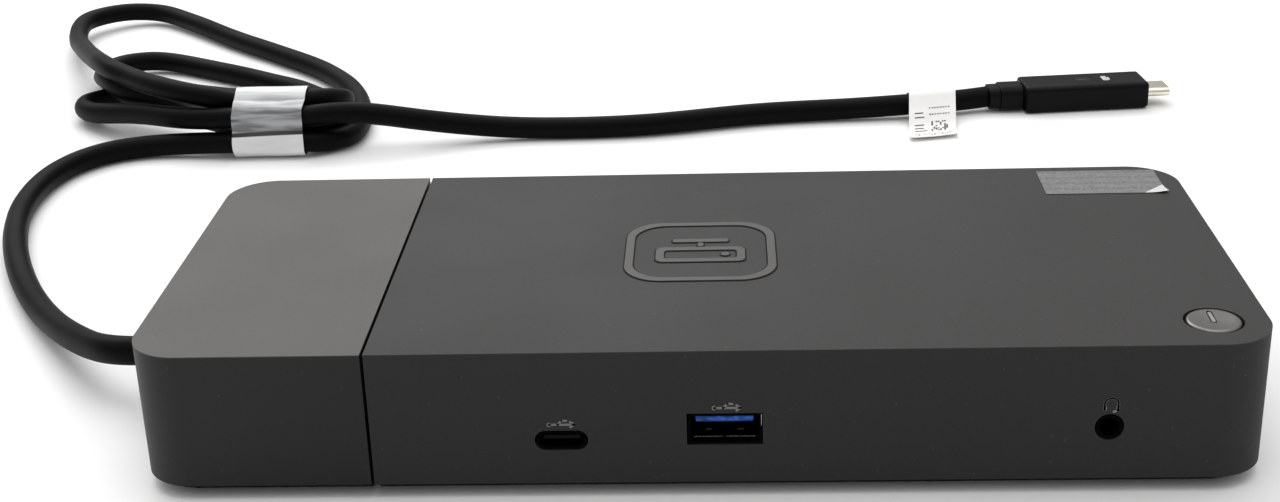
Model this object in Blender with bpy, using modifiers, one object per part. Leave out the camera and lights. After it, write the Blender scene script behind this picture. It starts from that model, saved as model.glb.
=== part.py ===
"""Laptop docking station: a flat two-part housing, a cable module with a captive USB-C cord, and its ports.

Frame: metres, +X right, +Y to the rear, +Z up. The origin is on the surface that the dock stands on,
under the middle of the housing. The front wall faces -Y.
"""

import math

import bmesh
import bpy
import numpy as np
from mathutils import Matrix, Vector

MM = 0.001

# Housing. Every size here is in millimetres
LENGTH, DEPTH, HEIGHT = 205.0, 90.0, 29.0
CORNER_RADIUS = 10.0
EDGE_ROUND = 0.7
WALL = 2.0
SHELL_BOTTOM = 2.8
SEAM_X, SEAM_GAP = -59.0, 0.6
BASE_BOTTOM, BASE_INSET = 0.8, 3.0
BASE_FLOOR_TOP, BASE_RIM_TOP = 2.6, 5.2
FOOT_TOP, FOOT_RECESS = 1.0, 1.3
GAP = 0.3

# Boards and fastening
BOARD_BOTTOM, BOARD_TOP = 8.2, 9.8
POST_RADIUS, STANDOFF_RADIUS = 3.0, 4.0
SCREW_RADIUS, SCREW_HEAD_RADIUS, SCREW_TIP = 1.25, 2.5, 14.0
MAIN_SCREWS = ((-50.0, -36.0), (43.0, -36.0), (-50.0, 19.0), (41.0, 21.0))
MODULE_SCREWS = tuple((x, y) for y in (-36.0, 36.0) for x in (-93.0, -80.0, -67.0))

# Front wall: centre x, centre z, width, height of each opening
FRONT_USB_C = (-24.15, 11.55, 9.65, 3.96)
FRONT_USB_A = (5.2, 13.5, 13.6, 6.3)
FRONT_JACK = (73.2, 13.1)
# Rear wall
REAR_USB_C = (27.0, 11.55, 9.65, 3.96)
REAR_HDMI = (9.0, 13.0, 15.6, 6.3)
REAR_DISPLAYPORTS = ((-13.0, 13.0, 17.5, 6.2), (-34.0, 13.0, 17.5, 6.2))
REAR_USB_A = (45.0, 17.7, 13.8, 16.2)
REAR_ETHERNET = (65.5, 16.8, 16.8, 14.2)
REAR_DC_JACK = (84.0, 15.4)
REAR_LINE_OUT = (-50.5, 13.1)
JACK_HOLE_RADIUS, DC_HOLE_RADIUS = 2.6, 4.8
JACK_BORE_RADIUS, DC_BORE_RADIUS, DC_PIN_RADIUS = 1.8, 3.7, 0.6
PORT_SET_BACK, SHELL_WALL = 0.25, 0.3
USB_C_DEPTH, USB_A_DEPTH, USB_A_STACK_DEPTH, HDMI_DEPTH, DISPLAYPORT_DEPTH = 8.5, 14.0, 16.0, 11.5, 14.0
USB_A_TONGUE = (11.2, 1.9)

# Power button, concentric with the front right corner
BUTTON_CENTRE = (92.5, -35.0)
BUTTON_HOLE_RADIUS, BUTTON_RADIUS, BUTTON_FLANGE_RADIUS = 5.35, 4.95, 6.2
LIGHT_SPAN, LIGHT_HALF_WIDTH, LIGHT_CLEARANCE = (-0.5, 3.7), 0.3, 0.25

# Marks on the top
BADGE_CENTRE, BADGE_RADIUS = (0.85, 0.5), 14.8
FILM_LABEL = (73.4, 98.5), (28.6, 42.3)
MARK_GAP = 0.04

# Module connector and blower
DOCKING_OPENING = (-15.8, 15.8), (9.9, 16.3)
FAN_CENTRE = (72.0, 0.0)
FAN_SIDE, FAN_BOTTOM, FAN_TOP = 42.0, 10.3, 20.3
IMPELLER_RADIUS, FAN_HUB_RADIUS = 17.5, 8.0
BLADES, BLADE_THICKNESS = 11, 1.0
VENTS, VENT_PITCH, VENT_WIDTH, VENT_SPAN = 9, 4.2, 2.0, (9.5, 21.5)

# Cord
CORD_DIAMETER = 6.0
CORD_POINTS = 140
LIE = 3.2
EXIT = (-111.5, -5.0, 11.4)
TIE_STARTS, TIE_ENDS = -129.4, -109.4
TIE_HOLDS = (-130.8, -121.0, -111.8)
SLOT_IN, SLOT_OUT, SLOT_TOP, SLOT_MID = (142.9, 4.4), (144.4, 10.9), (150.7, 13.8), (150.7, 7.4)
TIE_SLACK, TIE_FILM, LABEL_SLACK = 0.85, 0.35, 0.45
PLUG_START, PLUG_YAW, PLUG_Z = (82.0, 172.8), math.radians(5.4), 4.0
BOOT_LENGTH, BODY_LENGTH, PLUG_REACH = 9.5, 35.2, 6.65
BOOT_TAIL, BOOT_COLLAR, BOOT_STEP = (8.2, 6.3), (9.2, 6.9), 2.6
BODY_SECTION, PLUG_METAL, PLUG_HOLLOW = (12.9, 7.6), (8.34, 2.56), (7.7, 1.9)
LABEL_MIDDLE, LABEL_YAW, LABEL_WIDTH, LABEL_REACH = (65.4, 168.95, 3.8), math.radians(12.0), 13.8, 21.0
LABEL_LEAN = 0.3

FROM_DOCK = (
    EXIT, (-115.0, -4.7, 11.3), (-119.2, -2.8, 10.7), (-124.2, 1.8, 9.3), (-130.4, 9.4, 7.4),
    (-138.0, 19.6, 5.4), (-150.0, 38.0, 3.4), (-162.0, 61.0, LIE), (-170.5, 84.0, LIE), (-174.6, 106.0, LIE),
    (-172.5, 127.5, LIE), (-163.5, 140.2, LIE), (-149.0, 144.6, 3.5),
)
# Each turn of the hank: its way from the tie round to the tie again, and its slot there
TURNS = (
    (((-104.6, 145.1, 3.7), (-99.6, 150.7, LIE), (-97.7, 160.0, LIE), (-99.5, 173.7, LIE),
      (-103.3, 187.0, LIE), (-108.2, 198.0, LIE), (-115.6, 209.7, LIE), (-123.2, 219.0, LIE),
      (-132.9, 228.9, LIE), (-142.9, 238.5, 3.3), (-151.3, 246.7, 3.3), (-160.8, 256.5, 3.4),
      (-170.0, 266.4, 3.6), (-179.4, 275.9, 3.7), (-188.2, 282.9, 4.0), (-195.3, 283.9, 4.5),
      (-202.1, 280.6, 5.2), (-208.5, 273.1, 5.6), (-210.3, 263.5, 5.8), (-204.0, 239.7, 7.0),
      (-198.9, 227.8, 8.5), (-192.2, 213.0, 10.8), (-184.1, 195.4, 14.0), (-176.1, 179.2, 16.9),
      (-169.5, 169.8, 17.6), (-163.8, 165.2, 17.0), (-157.2, 159.1, 17.0), (-150.2, 154.1, 16.9),
      (-143.0, 150.6, 16.4), (-136.0, 149.2, 15.4)), SLOT_TOP),
    (((-106.4, 152.5, 13.5), (-102.8, 156.5, 12.1), (-101.9, 161.9, 10.2), (-105.4, 172.5, 6.6),
      (-111.8, 182.0, 3.9), (-121.0, 192.4, 3.5), (-129.9, 200.0, LIE), (-141.0, 208.1, LIE),
      (-150.8, 214.5, LIE), (-162.4, 221.9, LIE), (-173.0, 225.9, 3.6), (-178.6, 225.0, 3.9),
      (-183.2, 221.7, 4.2), (-186.1, 214.8, 4.6), (-185.2, 205.4, 5.4), (-180.6, 192.2, 8.8),
      (-176.8, 185.2, 9.7), (-169.3, 175.6, 9.3), (-159.8, 169.6, 9.3), (-148.2, 162.4, 8.1),
      (-139.3, 154.9, 7.2)), SLOT_MID),
    (((-106.9, 152.2, 6.6), (-104.3, 156.5, 5.4), (-104.9, 161.7, 3.8), (-109.3, 168.0, LIE),
      (-118.5, 175.4, 3.4), (-130.8, 181.8, 3.8), (-143.8, 186.8, 3.7), (-154.8, 190.9, 3.8),
      (-168.0, 193.4, 4.2), (-175.3, 191.5, 3.5), (-181.1, 186.8, 3.4), (-183.0, 181.7, 4.0),
      (-182.2, 176.2, 4.3), (-176.5, 168.8, 5.3), (-165.8, 161.3, 7.5), (-154.9, 153.7, 9.3),
      (-143.5, 146.8, 10.4)), SLOT_OUT),
)
TO_PLUG = (
    (-102.5, 145.6, 11.4), (-92.0, 147.6, 10.5), (-79.1, 150.0, 7.8), (-61.9, 153.1, 4.6),
    (-45.0, 154.3, LIE), (-15.0, 155.8, LIE), (14.0, 163.0, LIE), (40.0, 166.0, 3.3), (57.5, 167.3, 3.8),
    (65.2, 168.8, 3.8), (73.0, 170.4, 3.8), (81.7, 172.77, PLUG_Z),
)

# Lays a plate's thickness along X: its outline's x and y become y and z
ALONG_X = Matrix(((0, 0, 1, 0), (1, 0, 0, 0), (0, 1, 0, 0), (0, 0, 0, 1)))

# Each finish: colour, roughness, metallic
COLOURS = {
    "housing_plastic": ((0.105, 0.100, 0.093), 0.62, 0.0),
    "base_plastic": ((0.012, 0.012, 0.013), 0.6, 0.0),
    "rubber": ((0.015, 0.015, 0.016), 0.85, 0.0),
    "button_metal": ((0.22, 0.22, 0.22), 0.32, 0.9),
    "clear_plastic": ((0.85, 0.87, 0.88), 0.2, 0.0),
    "port_steel": ((0.45, 0.45, 0.46), 0.3, 1.0),
    "port_plastic": ((0.01, 0.01, 0.011), 0.5, 0.0),
    "usb_blue": ((0.02, 0.11, 0.5), 0.4, 0.0),
    "board_laminate": ((0.01, 0.07, 0.035), 0.5, 0.0),
    "aluminium": ((0.6, 0.6, 0.61), 0.35, 1.0),
    "thermal_pad": ((0.35, 0.4, 0.5), 0.8, 0.0),
    "fan_plastic": ((0.02, 0.02, 0.021), 0.45, 0.0),
    "screw_steel": ((0.3, 0.3, 0.3), 0.35, 1.0),
    "cord_jacket": ((0.008, 0.008, 0.009), 0.55, 0.0),
    "tie_film": ((0.7, 0.7, 0.68), 0.25, 0.0),
    "paper_label": ((0.82, 0.81, 0.79), 0.7, 0.0),
    "label_film": ((0.16, 0.16, 0.16), 0.45, 0.0),
    "badge": ((0.3, 0.3, 0.3), 0.4, 0.5),
}


def clear_scene():
    for obj in list(bpy.data.objects):
        bpy.data.objects.remove(obj, do_unlink=True)


def new_collection(name):
    collection = bpy.data.collections.new(name)
    bpy.context.scene.collection.children.link(collection)
    return collection


def material(name):
    """The Principled material of this name, made the first time that it is asked for."""
    found = bpy.data.materials.get(name)
    if found:
        return found
    colour, roughness, metallic = COLOURS[name]
    made = bpy.data.materials.new(name)
    made.use_nodes = True
    shader = made.node_tree.nodes["Principled BSDF"]
    shader.inputs["Base Color"].default_value = (*colour, 1.0)
    shader.inputs["Roughness"].default_value = roughness
    shader.inputs["Metallic"].default_value = metallic
    return made


def part(name, mesh, finish):
    """A named sub-part of the dock in its own finish."""
    mesh.name = name
    mesh.materials.clear()
    mesh.materials.append(material(finish))
    mesh.shade_smooth()
    mesh.set_sharp_from_angle(angle=math.radians(35))
    obj = bpy.data.objects.new(name, mesh)
    parts.objects.link(obj)
    return obj


def helper(mesh):
    """A hidden shape that cuts a part or is joined to it."""
    obj = bpy.data.objects.new("helper", mesh)
    obj.hide_render = True
    obj.display_type = "WIRE"
    cutters.objects.link(obj)
    return obj


def boolean(obj, operation, meshes):
    for mesh in meshes:
        modifier = obj.modifiers.new(operation.title(), "BOOLEAN")
        modifier.operation = operation
        modifier.solver = "EXACT"
        modifier.object = helper(mesh)


def cut(obj, *meshes):
    boolean(obj, "DIFFERENCE", meshes)


def join(obj, *meshes):
    boolean(obj, "UNION", meshes)


def round_edges(obj, width, segments=2):
    modifier = obj.modifiers.new("Round edges", "BEVEL")
    modifier.width = width * MM
    modifier.segments = segments
    modifier.limit_method = "ANGLE"
    modifier.angle_limit = math.radians(40)


# Meshes, from sizes in millimetres


def box(x, y, z):
    """A box between pairs of x, y and z."""
    bm = bmesh.new()
    bmesh.ops.create_cube(bm, size=1.0)
    size = [(b - a) * MM for a, b in (x, y, z)]
    centre = [(a + b) / 2 * MM for a, b in (x, y, z)]
    bmesh.ops.scale(bm, vec=size, verts=bm.verts)
    bmesh.ops.translate(bm, vec=centre, verts=bm.verts)
    return mesh_of(bm)


def cylinder(centre, radius, span, axis="Z", segments=20):
    """A cylinder about an axis line through centre, over the span along that axis."""
    bm = bmesh.new()
    bmesh.ops.create_cone(
        bm, cap_ends=True, segments=segments, radius1=radius * MM, radius2=radius * MM,
        depth=(span[1] - span[0]) * MM,
    )
    quarter = math.pi / 2
    turn = {"Z": Matrix(), "X": Matrix.Rotation(quarter, 4, "Y"), "Y": Matrix.Rotation(quarter, 4, "X")}
    place = list(centre)
    place["XYZ".index(axis)] = (span[0] + span[1]) / 2
    bmesh.ops.transform(bm, matrix=Matrix.Translation(Vector(place) * MM) @ turn[axis], verts=bm.verts)
    return mesh_of(bm)


def mesh_of(bm):
    mesh = bpy.data.meshes.new("shape")
    bm.to_mesh(mesh)
    bm.free()
    return mesh


def arc(cx, cy, radius, first, last, steps):
    """Points on an arc, from the first angle to the last, in degrees."""
    angles = [math.radians(first + (last - first) * k / steps) for k in range(steps + 1)]
    return [(cx + radius * math.cos(a), cy + radius * math.sin(a)) for a in angles]


def circle(cx, cy, radius, steps=24):
    return arc(cx, cy, radius, 0, 360, steps)[:-1]


def rectangle(x, y, left_radius=0.0, right_radius=0.0, steps=9):
    """An outline with its own corner radius at the left and at the right end."""
    outline = []
    corners = (
        (x[1], y[1], right_radius, 0), (x[0], y[1], left_radius, 90),
        (x[0], y[0], left_radius, 180), (x[1], y[0], right_radius, 270),
    )
    for cx, cy, radius, first in corners:
        if not radius:
            outline.append((cx, cy))
            continue
        inward = radius if cx == x[0] else -radius
        upward = radius if cy == y[0] else -radius
        outline += arc(cx + inward, cy + upward, radius, first, first + 90, steps)
    return outline


def pill(width, height, steps=6):
    """An upright slot outline, round at both ends, about the origin."""
    reach = (width - height) / 2
    return arc(reach, 0, height / 2, -90, 90, steps) + arc(-reach, 0, height / 2, 90, 270, steps)


def plate(outlines, span, place=Matrix()):
    """A flat outline, with any further outlines as holes, as thick as the span in z; place then moves it."""
    curve = bpy.data.curves.new("outline", "CURVE")
    curve.dimensions = "2D"
    curve.fill_mode = "BOTH"
    curve.extrude = (span[1] - span[0]) / 2 * MM
    for outline in outlines:
        spline = curve.splines.new("POLY")
        spline.points.add(len(outline) - 1)
        for point, (x, y) in zip(spline.points, outline):
            point.co = (x * MM, y * MM, 0, 1)
        spline.use_cyclic_u = True
    middle = Matrix.Translation((0, 0, (span[0] + span[1]) / 2 * MM))
    return mesh_from_curve(curve, place @ middle)


def mesh_from_curve(curve, place=Matrix()):
    """The curve's own mesh, closed at its seams and moved by place."""
    obj = bpy.data.objects.new("outline", curve)
    bpy.context.scene.collection.objects.link(obj)
    graph = bpy.context.evaluated_depsgraph_get()
    mesh = bpy.data.meshes.new_from_object(obj.evaluated_get(graph))
    bpy.data.objects.remove(obj)
    bpy.data.curves.remove(curve)
    bm = bmesh.new()
    bm.from_mesh(mesh)
    bpy.data.meshes.remove(mesh)
    bmesh.ops.remove_doubles(bm, verts=bm.verts, dist=1e-6)
    bmesh.ops.transform(bm, matrix=place, verts=bm.verts)
    bmesh.ops.recalc_face_normals(bm, faces=bm.faces)
    return mesh_of(bm)


def in_wall(x, z, y):
    """The placing that stands an outline's thickness along Y, centred on (x, z) and measured from y."""
    turn = Matrix.Rotation(math.pi / 2, 4, "X")
    return Matrix.Translation((x * MM, y * MM, z * MM)) @ turn


def turned(name, profile, finish, place, steps=16):
    """A turned piece. The profile is (radius, height) pairs, top to bottom, with its ends on the axis."""
    bm = bmesh.new()
    verts = [bm.verts.new((r * MM, 0, z * MM)) for r, z in profile]
    for first, second in zip(verts, verts[1:]):
        bm.edges.new((first, second))
    obj = part(name, mesh_of(bm), finish)
    obj.matrix_world = place
    screw = obj.modifiers.new("Turn", "SCREW")
    screw.axis = "Z"
    screw.steps = screw.render_steps = steps
    screw.use_merge_vertices = True
    screw.merge_threshold = 1e-5
    screw.use_smooth_shade = True
    return obj


# Housing


def shell_mesh(x, left_radius, right_radius):
    return plate([rectangle(x, (-DEPTH / 2, DEPTH / 2), left_radius, right_radius)], (SHELL_BOTTOM, HEIGHT))


def hollow_mesh(x, left_radius, right_radius):
    """The space inside a cover, up to its ceiling."""
    inside = rectangle(
        (x[0] + WALL, x[1] - WALL), (WALL - DEPTH / 2, DEPTH / 2 - WALL),
        max(left_radius - WALL, 0), max(right_radius - WALL, 0), 6,
    )
    return plate([inside], (SHELL_BOTTOM - 1, HEIGHT - WALL))


def post_mesh(x, y):
    """A screw post that hangs from a cover's ceiling to just over the board."""
    return cylinder((x, y, 0), POST_RADIUS, (BOARD_TOP + GAP, HEIGHT - WALL + 0.5), segments=12)


def post_bore_mesh(x, y):
    return cylinder((x, y, 0), SCREW_RADIUS + 0.2, (0, SCREW_TIP + 1), segments=12)


def wall_opening(port, y):
    """A rectangular opening through a wall, for a port given as x, z, width and height."""
    x, z, width, height = port
    return box((x - width / 2, x + width / 2), y, (z - height / 2, z + height / 2))


def pill_opening(port, y):
    x, z, width, height = port
    return plate([pill(width, height)], (-2, 2), in_wall(x, z, y))


def main_top_cover():
    x = (SEAM_X + SEAM_GAP / 2, LENGTH / 2)
    cover = part("main_top_cover", shell_mesh(x, 0, CORNER_RADIUS), "housing_plastic")
    round_edges(cover, EDGE_ROUND)
    cut(cover, hollow_mesh(x, 0, CORNER_RADIUS))
    join(cover, *(post_mesh(*place) for place in MAIN_SCREWS))
    cut(cover, *(post_bore_mesh(*place) for place in MAIN_SCREWS))
    front, rear = (-DEPTH / 2 - 1, -DEPTH / 2 + WALL + 1), (DEPTH / 2 - WALL - 1, DEPTH / 2 + 1)
    cut(
        cover,
        cylinder((*BUTTON_CENTRE, 0), BUTTON_HOLE_RADIUS, (HEIGHT - WALL - 1, HEIGHT + 1), segments=32),
        pill_opening(FRONT_USB_C, -DEPTH / 2),
        wall_opening(FRONT_USB_A, front),
        cylinder((FRONT_JACK[0], 0, FRONT_JACK[1]), JACK_HOLE_RADIUS, front, "Y"),
        pill_opening(REAR_USB_C, DEPTH / 2),
        cylinder((REAR_LINE_OUT[0], 0, REAR_LINE_OUT[1]), JACK_HOLE_RADIUS, rear, "Y"),
        cylinder((REAR_DC_JACK[0], 0, REAR_DC_JACK[1]), DC_HOLE_RADIUS, rear, "Y"),
        *(wall_opening(port, rear) for port in (REAR_HDMI, REAR_USB_A, REAR_ETHERNET, *REAR_DISPLAYPORTS)),
        *(vent_slot(k) for k in range(VENTS)),
        box((SEAM_X - 1, SEAM_X + WALL + 2), *DOCKING_OPENING),
    )


def vent_slot(index):
    """One of the upright exhaust slots in the right wall."""
    middle = (index - VENTS // 2) * VENT_PITCH
    y = (middle - VENT_WIDTH / 2, middle + VENT_WIDTH / 2)
    return box((LENGTH / 2 - WALL - 1, LENGTH / 2 + 1), y, VENT_SPAN)


def module_top_cover():
    x = (-LENGTH / 2, SEAM_X - SEAM_GAP / 2)
    cover = part("module_top_cover", shell_mesh(x, CORNER_RADIUS, 0), "housing_plastic")
    round_edges(cover, EDGE_ROUND)
    cut(cover, hollow_mesh(x, CORNER_RADIUS, 0))
    join(cover, *(post_mesh(*place) for place in MODULE_SCREWS))
    cut(cover, *(post_bore_mesh(*place) for place in MODULE_SCREWS))
    cut(
        cover,
        cylinder((0, EXIT[1], EXIT[2]), 4.0, (-LENGTH / 2 - 1, -LENGTH / 2 + WALL + 1), "X"),
        box((SEAM_X - WALL - 2, SEAM_X + 1), *DOCKING_OPENING),
    )


def base_cover(name, x, left_radius, right_radius, screws, feet):
    """A base: a floor plate set in from the walls, a rim inside them, screw standoffs and foot recesses."""
    ends = (BASE_INSET if left_radius else GAP, BASE_INSET if right_radius else GAP)
    floor = rectangle(
        (x[0] + ends[0], x[1] - ends[1]), (BASE_INSET - DEPTH / 2, DEPTH / 2 - BASE_INSET),
        max(left_radius - BASE_INSET, 0), max(right_radius - BASE_INSET, 0), 5,
    )
    rim, well = (
        rectangle(
            (x[0] + inset, x[1] - inset), (inset - DEPTH / 2, DEPTH / 2 - inset),
            max(left_radius - inset, 0), max(right_radius - inset, 0), 5,
        )
        for inset in (WALL + 0.4, WALL + 2.2)
    )
    cover = part(name, plate([floor], (BASE_BOTTOM, SHELL_BOTTOM - GAP)), "base_plastic")
    join(cover, plate([rim], (SHELL_BOTTOM - 2 * GAP, BASE_RIM_TOP)))
    cut(cover, plate([well], (BASE_FLOOR_TOP, BASE_RIM_TOP + 1)))
    standoff = (BASE_BOTTOM + 0.5, BOARD_BOTTOM - GAP)
    join(cover, *(cylinder((*place, 0), STANDOFF_RADIUS, standoff, segments=12) for place in screws))
    cut(
        cover,
        *(cylinder((*place, 0), SCREW_RADIUS + 0.35, (0, BOARD_TOP), segments=12) for place in screws),
        *(cylinder((*place, 0), SCREW_HEAD_RADIUS + GAP, (0, 2.4), segments=16) for place in screws),
        *(box(*(((a - GAP, b + GAP)) for a, b in foot), (0, FOOT_RECESS)) for foot in feet),
    )
    return cover


def foot(name, place):
    pad = part(name, box(*place, (0, FOOT_TOP)), "rubber")
    round_edges(pad, 0.25, 1)


def bases_and_feet():
    main = (SEAM_X + SEAM_GAP / 2, LENGTH / 2)
    module = (-LENGTH / 2, SEAM_X - SEAM_GAP / 2)
    main_feet = (((-40.0, -30.0), (-33.0, 33.0)), ((82.0, 92.0), (-33.0, 33.0)))
    module_feet = (((-86.0, -74.0), (-28.0, 28.0)),)
    base = base_cover("main_base_cover", main, 0, CORNER_RADIUS, MAIN_SCREWS, main_feet)
    cut(base, *(box((34 + 4 * k, 36 + 4 * k), (-16, 16), (0, BASE_FLOOR_TOP + 1)) for k in range(11)))
    base_cover("module_base_cover", module, CORNER_RADIUS, 0, MODULE_SCREWS, module_feet)
    for name, place in zip(("left_foot", "right_foot", "module_foot"), (*main_feet, *module_feet)):
        foot(name, place)


def screws():
    """Each screw: a low round head with a driver recess, and a plain shank up into its post."""
    profile = (
        (0, SCREW_TIP), (SCREW_RADIUS - 0.4, SCREW_TIP), (SCREW_RADIUS, SCREW_TIP - 0.6), (SCREW_RADIUS, 2.1),
        (SCREW_HEAD_RADIUS, 2.1), (SCREW_HEAD_RADIUS, 1.5), (SCREW_HEAD_RADIUS - 0.5, 1.1), (0.9, 1.1),
        (0.5, 1.7), (0, 1.7),
    )
    named = [("main_base_screw", MAIN_SCREWS), ("module_screw", MODULE_SCREWS)]
    for name, places in named:
        for index, (x, y) in enumerate(places, 1):
            turned(f"{name}_{index}", profile, "screw_steel", Matrix.Translation((x * MM, y * MM, 0)), 12)


def top_marks():
    """A plain badge on the main cover, and a film label over the right rear corner."""
    badge = circle(*BADGE_CENTRE, BADGE_RADIUS, 40)
    part("top_badge", plate([badge], (HEIGHT + MARK_GAP, HEIGHT + 0.24)), "badge")
    film = rectangle(*FILM_LABEL, 1.0, 1.0, 3)
    part("film_label", plate([film], (HEIGHT + MARK_GAP, HEIGHT + 0.2)), "label_film")


# Boards and cooling


def boards():
    outline = rectangle((-55.5, 99.0), (-41.0, 41.0), 0, 6.5, 4)
    holes = [circle(x, y, SCREW_RADIUS + 0.35, 12) for x, y in MAIN_SCREWS]
    part("main_board", plate([outline, *holes], (BOARD_BOTTOM, BOARD_TOP)), "board_laminate")
    outline = rectangle((-97.5, -62.5), (-41.0, 41.0), 4.5, 0, 4)
    holes = [circle(x, y, SCREW_RADIUS + 0.35, 12) for x, y in MODULE_SCREWS]
    part("module_board", plate([outline, *holes], (BOARD_BOTTOM, BOARD_TOP)), "board_laminate")
    width, height = ((y[0] + GAP, y[1] - GAP) for y in DOCKING_OPENING)
    socket = part("docking_socket", box((-56.0, -45.0), width, height), "port_plastic")
    cut(socket, box((-57.0, -48.0), (-13.5, 13.5), (11.7, 14.5)))
    plug = part("docking_plug", box((-68.0, -57.4), width, height), "port_plastic")
    join(plug, box((-58.0, -49.0), (-13.0, 13.0), (12.2, 14.0)))


def fin_outline(width, height, fins, base):
    """A comb in section: a base with upright fins."""
    pitch = width / (fins - 0.5)
    outline = [(-width / 2, 0), (width / 2, 0)]
    for k in range(fins):
        right = width / 2 - k * pitch
        outline += [(right, height), (right - pitch / 2, height)]
        if k < fins - 1:
            outline += [(right - pitch / 2, base), (right - pitch, base)]
    return outline


def cooling():
    chip_x, chip_y = (4.0, 24.0), (-10.0, 10.0)
    part("controller_chip", box(chip_x, chip_y, (10.1, 11.6)), "port_plastic")
    part("thermal_pad", box(chip_x, chip_y, (11.7, 12.5)), "thermal_pad")
    stand = Matrix.Rotation(math.pi / 2, 4, "Z") @ Matrix.Rotation(math.pi / 2, 4, "X")
    sink = part("heat_sink", plate([fin_outline(36, 11.5, 9, 2.0)], (-20, 20), stand), "aluminium")
    sink.matrix_world = Matrix.Translation((sum(chip_x) / 2 * MM, 0, 12.6 * MM))


def blower():
    """A blower: a housing open at the top and at its outlet, a lid with the intake, and an impeller."""
    cx, cy = FAN_CENTRE
    half = FAN_SIDE / 2
    middle = (cx, cy, 0)
    outline = rectangle((cx - half, cx + half), (cy - half, cy + half), 4.0, 4.0, 3)
    housing = part("fan_housing", plate([outline], (FAN_BOTTOM, FAN_TOP)), "fan_plastic")
    cut(housing, cylinder(middle, IMPELLER_RADIUS + 1.5, (FAN_BOTTOM + 1.2, FAN_TOP + 1), segments=32))
    cut(housing, box((cx, cx + half + 1), (cy - 16, cy + 6), (FAN_BOTTOM + 1.2, FAN_TOP + 1)))
    join(housing, cylinder(middle, 1.5, (FAN_BOTTOM + 0.5, FAN_TOP - 1.5), segments=12))
    lid_span = (FAN_TOP + GAP, FAN_TOP + GAP + 0.8)
    part("fan_lid", plate([outline, circle(cx, cy, 13.0, 28)], lid_span), "aluminium")

    hub = FAN_HUB_RADIUS
    blade_half = math.degrees(BLADE_THICKNESS / 2 / hub)
    rim_half = math.degrees(BLADE_THICKNESS / 2 / IMPELLER_RADIUS)
    sweep = 14
    rotor = []
    for k in range(BLADES):
        middle_angle = 360 / BLADES * k
        start, end = middle_angle - blade_half, middle_angle + blade_half
        tip = middle_angle + sweep
        rotor += arc(0, 0, hub, start, start, 1)[:1]
        rotor += arc(0, 0, IMPELLER_RADIUS, tip - rim_half, tip + rim_half, 1)
        rotor += arc(0, 0, hub, end, end + 360 / BLADES - 2 * blade_half, 2)[:2]
    span = (FAN_BOTTOM + 1.7, FAN_TOP - 1.2)
    impeller = part("fan_impeller", plate([rotor, circle(0, 0, 1.9, 12)], span), "fan_plastic")
    impeller.matrix_world = Matrix.Translation((cx * MM, cy * MM, 0))


# Button


def power_button():
    """A round cap with a stem down to the switch, a slim light pipe in the cap, and the switch."""
    x, y = BUTTON_CENTRE
    place = Matrix.Translation((x * MM, y * MM, 0))
    profile = (
        (0, HEIGHT + 0.15), (BUTTON_RADIUS - 0.35, HEIGHT + 0.15), (BUTTON_RADIUS, HEIGHT - 0.2),
        (BUTTON_RADIUS, 26.6), (BUTTON_FLANGE_RADIUS, 26.6), (BUTTON_FLANGE_RADIUS, 25.6), (1.6, 25.6),
        (1.6, 15.4), (0, 15.4),
    )
    cap = turned("power_button_cap", profile, "button_metal", place, 32)
    half = LIGHT_HALF_WIDTH + LIGHT_CLEARANCE
    span = (y + LIGHT_SPAN[0] - LIGHT_CLEARANCE, y + LIGHT_SPAN[1] + LIGHT_CLEARANCE)
    cut(cap, box((x - half, x + half), span, (26.0, HEIGHT + 1)))
    light = box((-LIGHT_HALF_WIDTH, LIGHT_HALF_WIDTH), LIGHT_SPAN, (26.3, HEIGHT + 0.12))
    pipe = part("button_light_pipe", light, "clear_plastic")
    pipe.matrix_world = place
    plunger = ((0, 15.1), (1.5, 15.1), (1.7, 14.9), (1.7, 12.6), (0, 12.6))
    turned("switch_plunger", plunger, "port_plastic", place, 12)
    body = part("switch_body", box((x - 3, x + 3), (y - 3, y + 3), (10.1, 13.6)), "port_steel")
    cut(body, cylinder((x, y, 0), 2.0, (11.6, 15.0), segments=16))


# Ports


def facing_of(name):
    """Which way a port looks along Y, by its name."""
    return -1 if name.startswith("front") else 1


def metal_shell(name, port, depth, outline=None):
    """A receptacle shell, open at its mouth. It lies 0.3 mm inside its wall opening on every side."""
    x, z, width, height = port
    outer = (width - 2 * GAP, height - 2 * GAP)
    inner = (outer[0] - 2 * SHELL_WALL, outer[1] - 2 * SHELL_WALL)
    facing = facing_of(name)
    mouth = facing * (DEPTH / 2 - PORT_SET_BACK)
    back = mouth - facing * depth
    span = sorted((mouth, back))
    hollow = sorted((mouth + facing, back + facing * 0.8))
    if outline:
        shell = part(name, plate([outline(*outer)], (-span[1], -span[0]), in_wall(x, z, 0)), "port_steel")
        cut(shell, plate([outline(*inner)], (-hollow[1], -hollow[0]), in_wall(x, z, 0)))
        return shell
    shell = part(name, wall_opening((x, z, *outer), span), "port_steel")
    cut(shell, wall_opening((x, z, *inner), hollow))
    return shell


def tongue(name, port, size, depth, finish, lift=0.0):
    """A receptacle's inner board, which stands out from the back of its shell."""
    x, z = port[:2]
    facing = facing_of(name)
    mouth = facing * (DEPTH / 2 - PORT_SET_BACK)
    span = sorted((mouth - facing * 1.2, mouth - facing * (depth - 1.1)))
    return part(name, wall_opening((x, z + lift, *size), span), finish)


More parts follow.
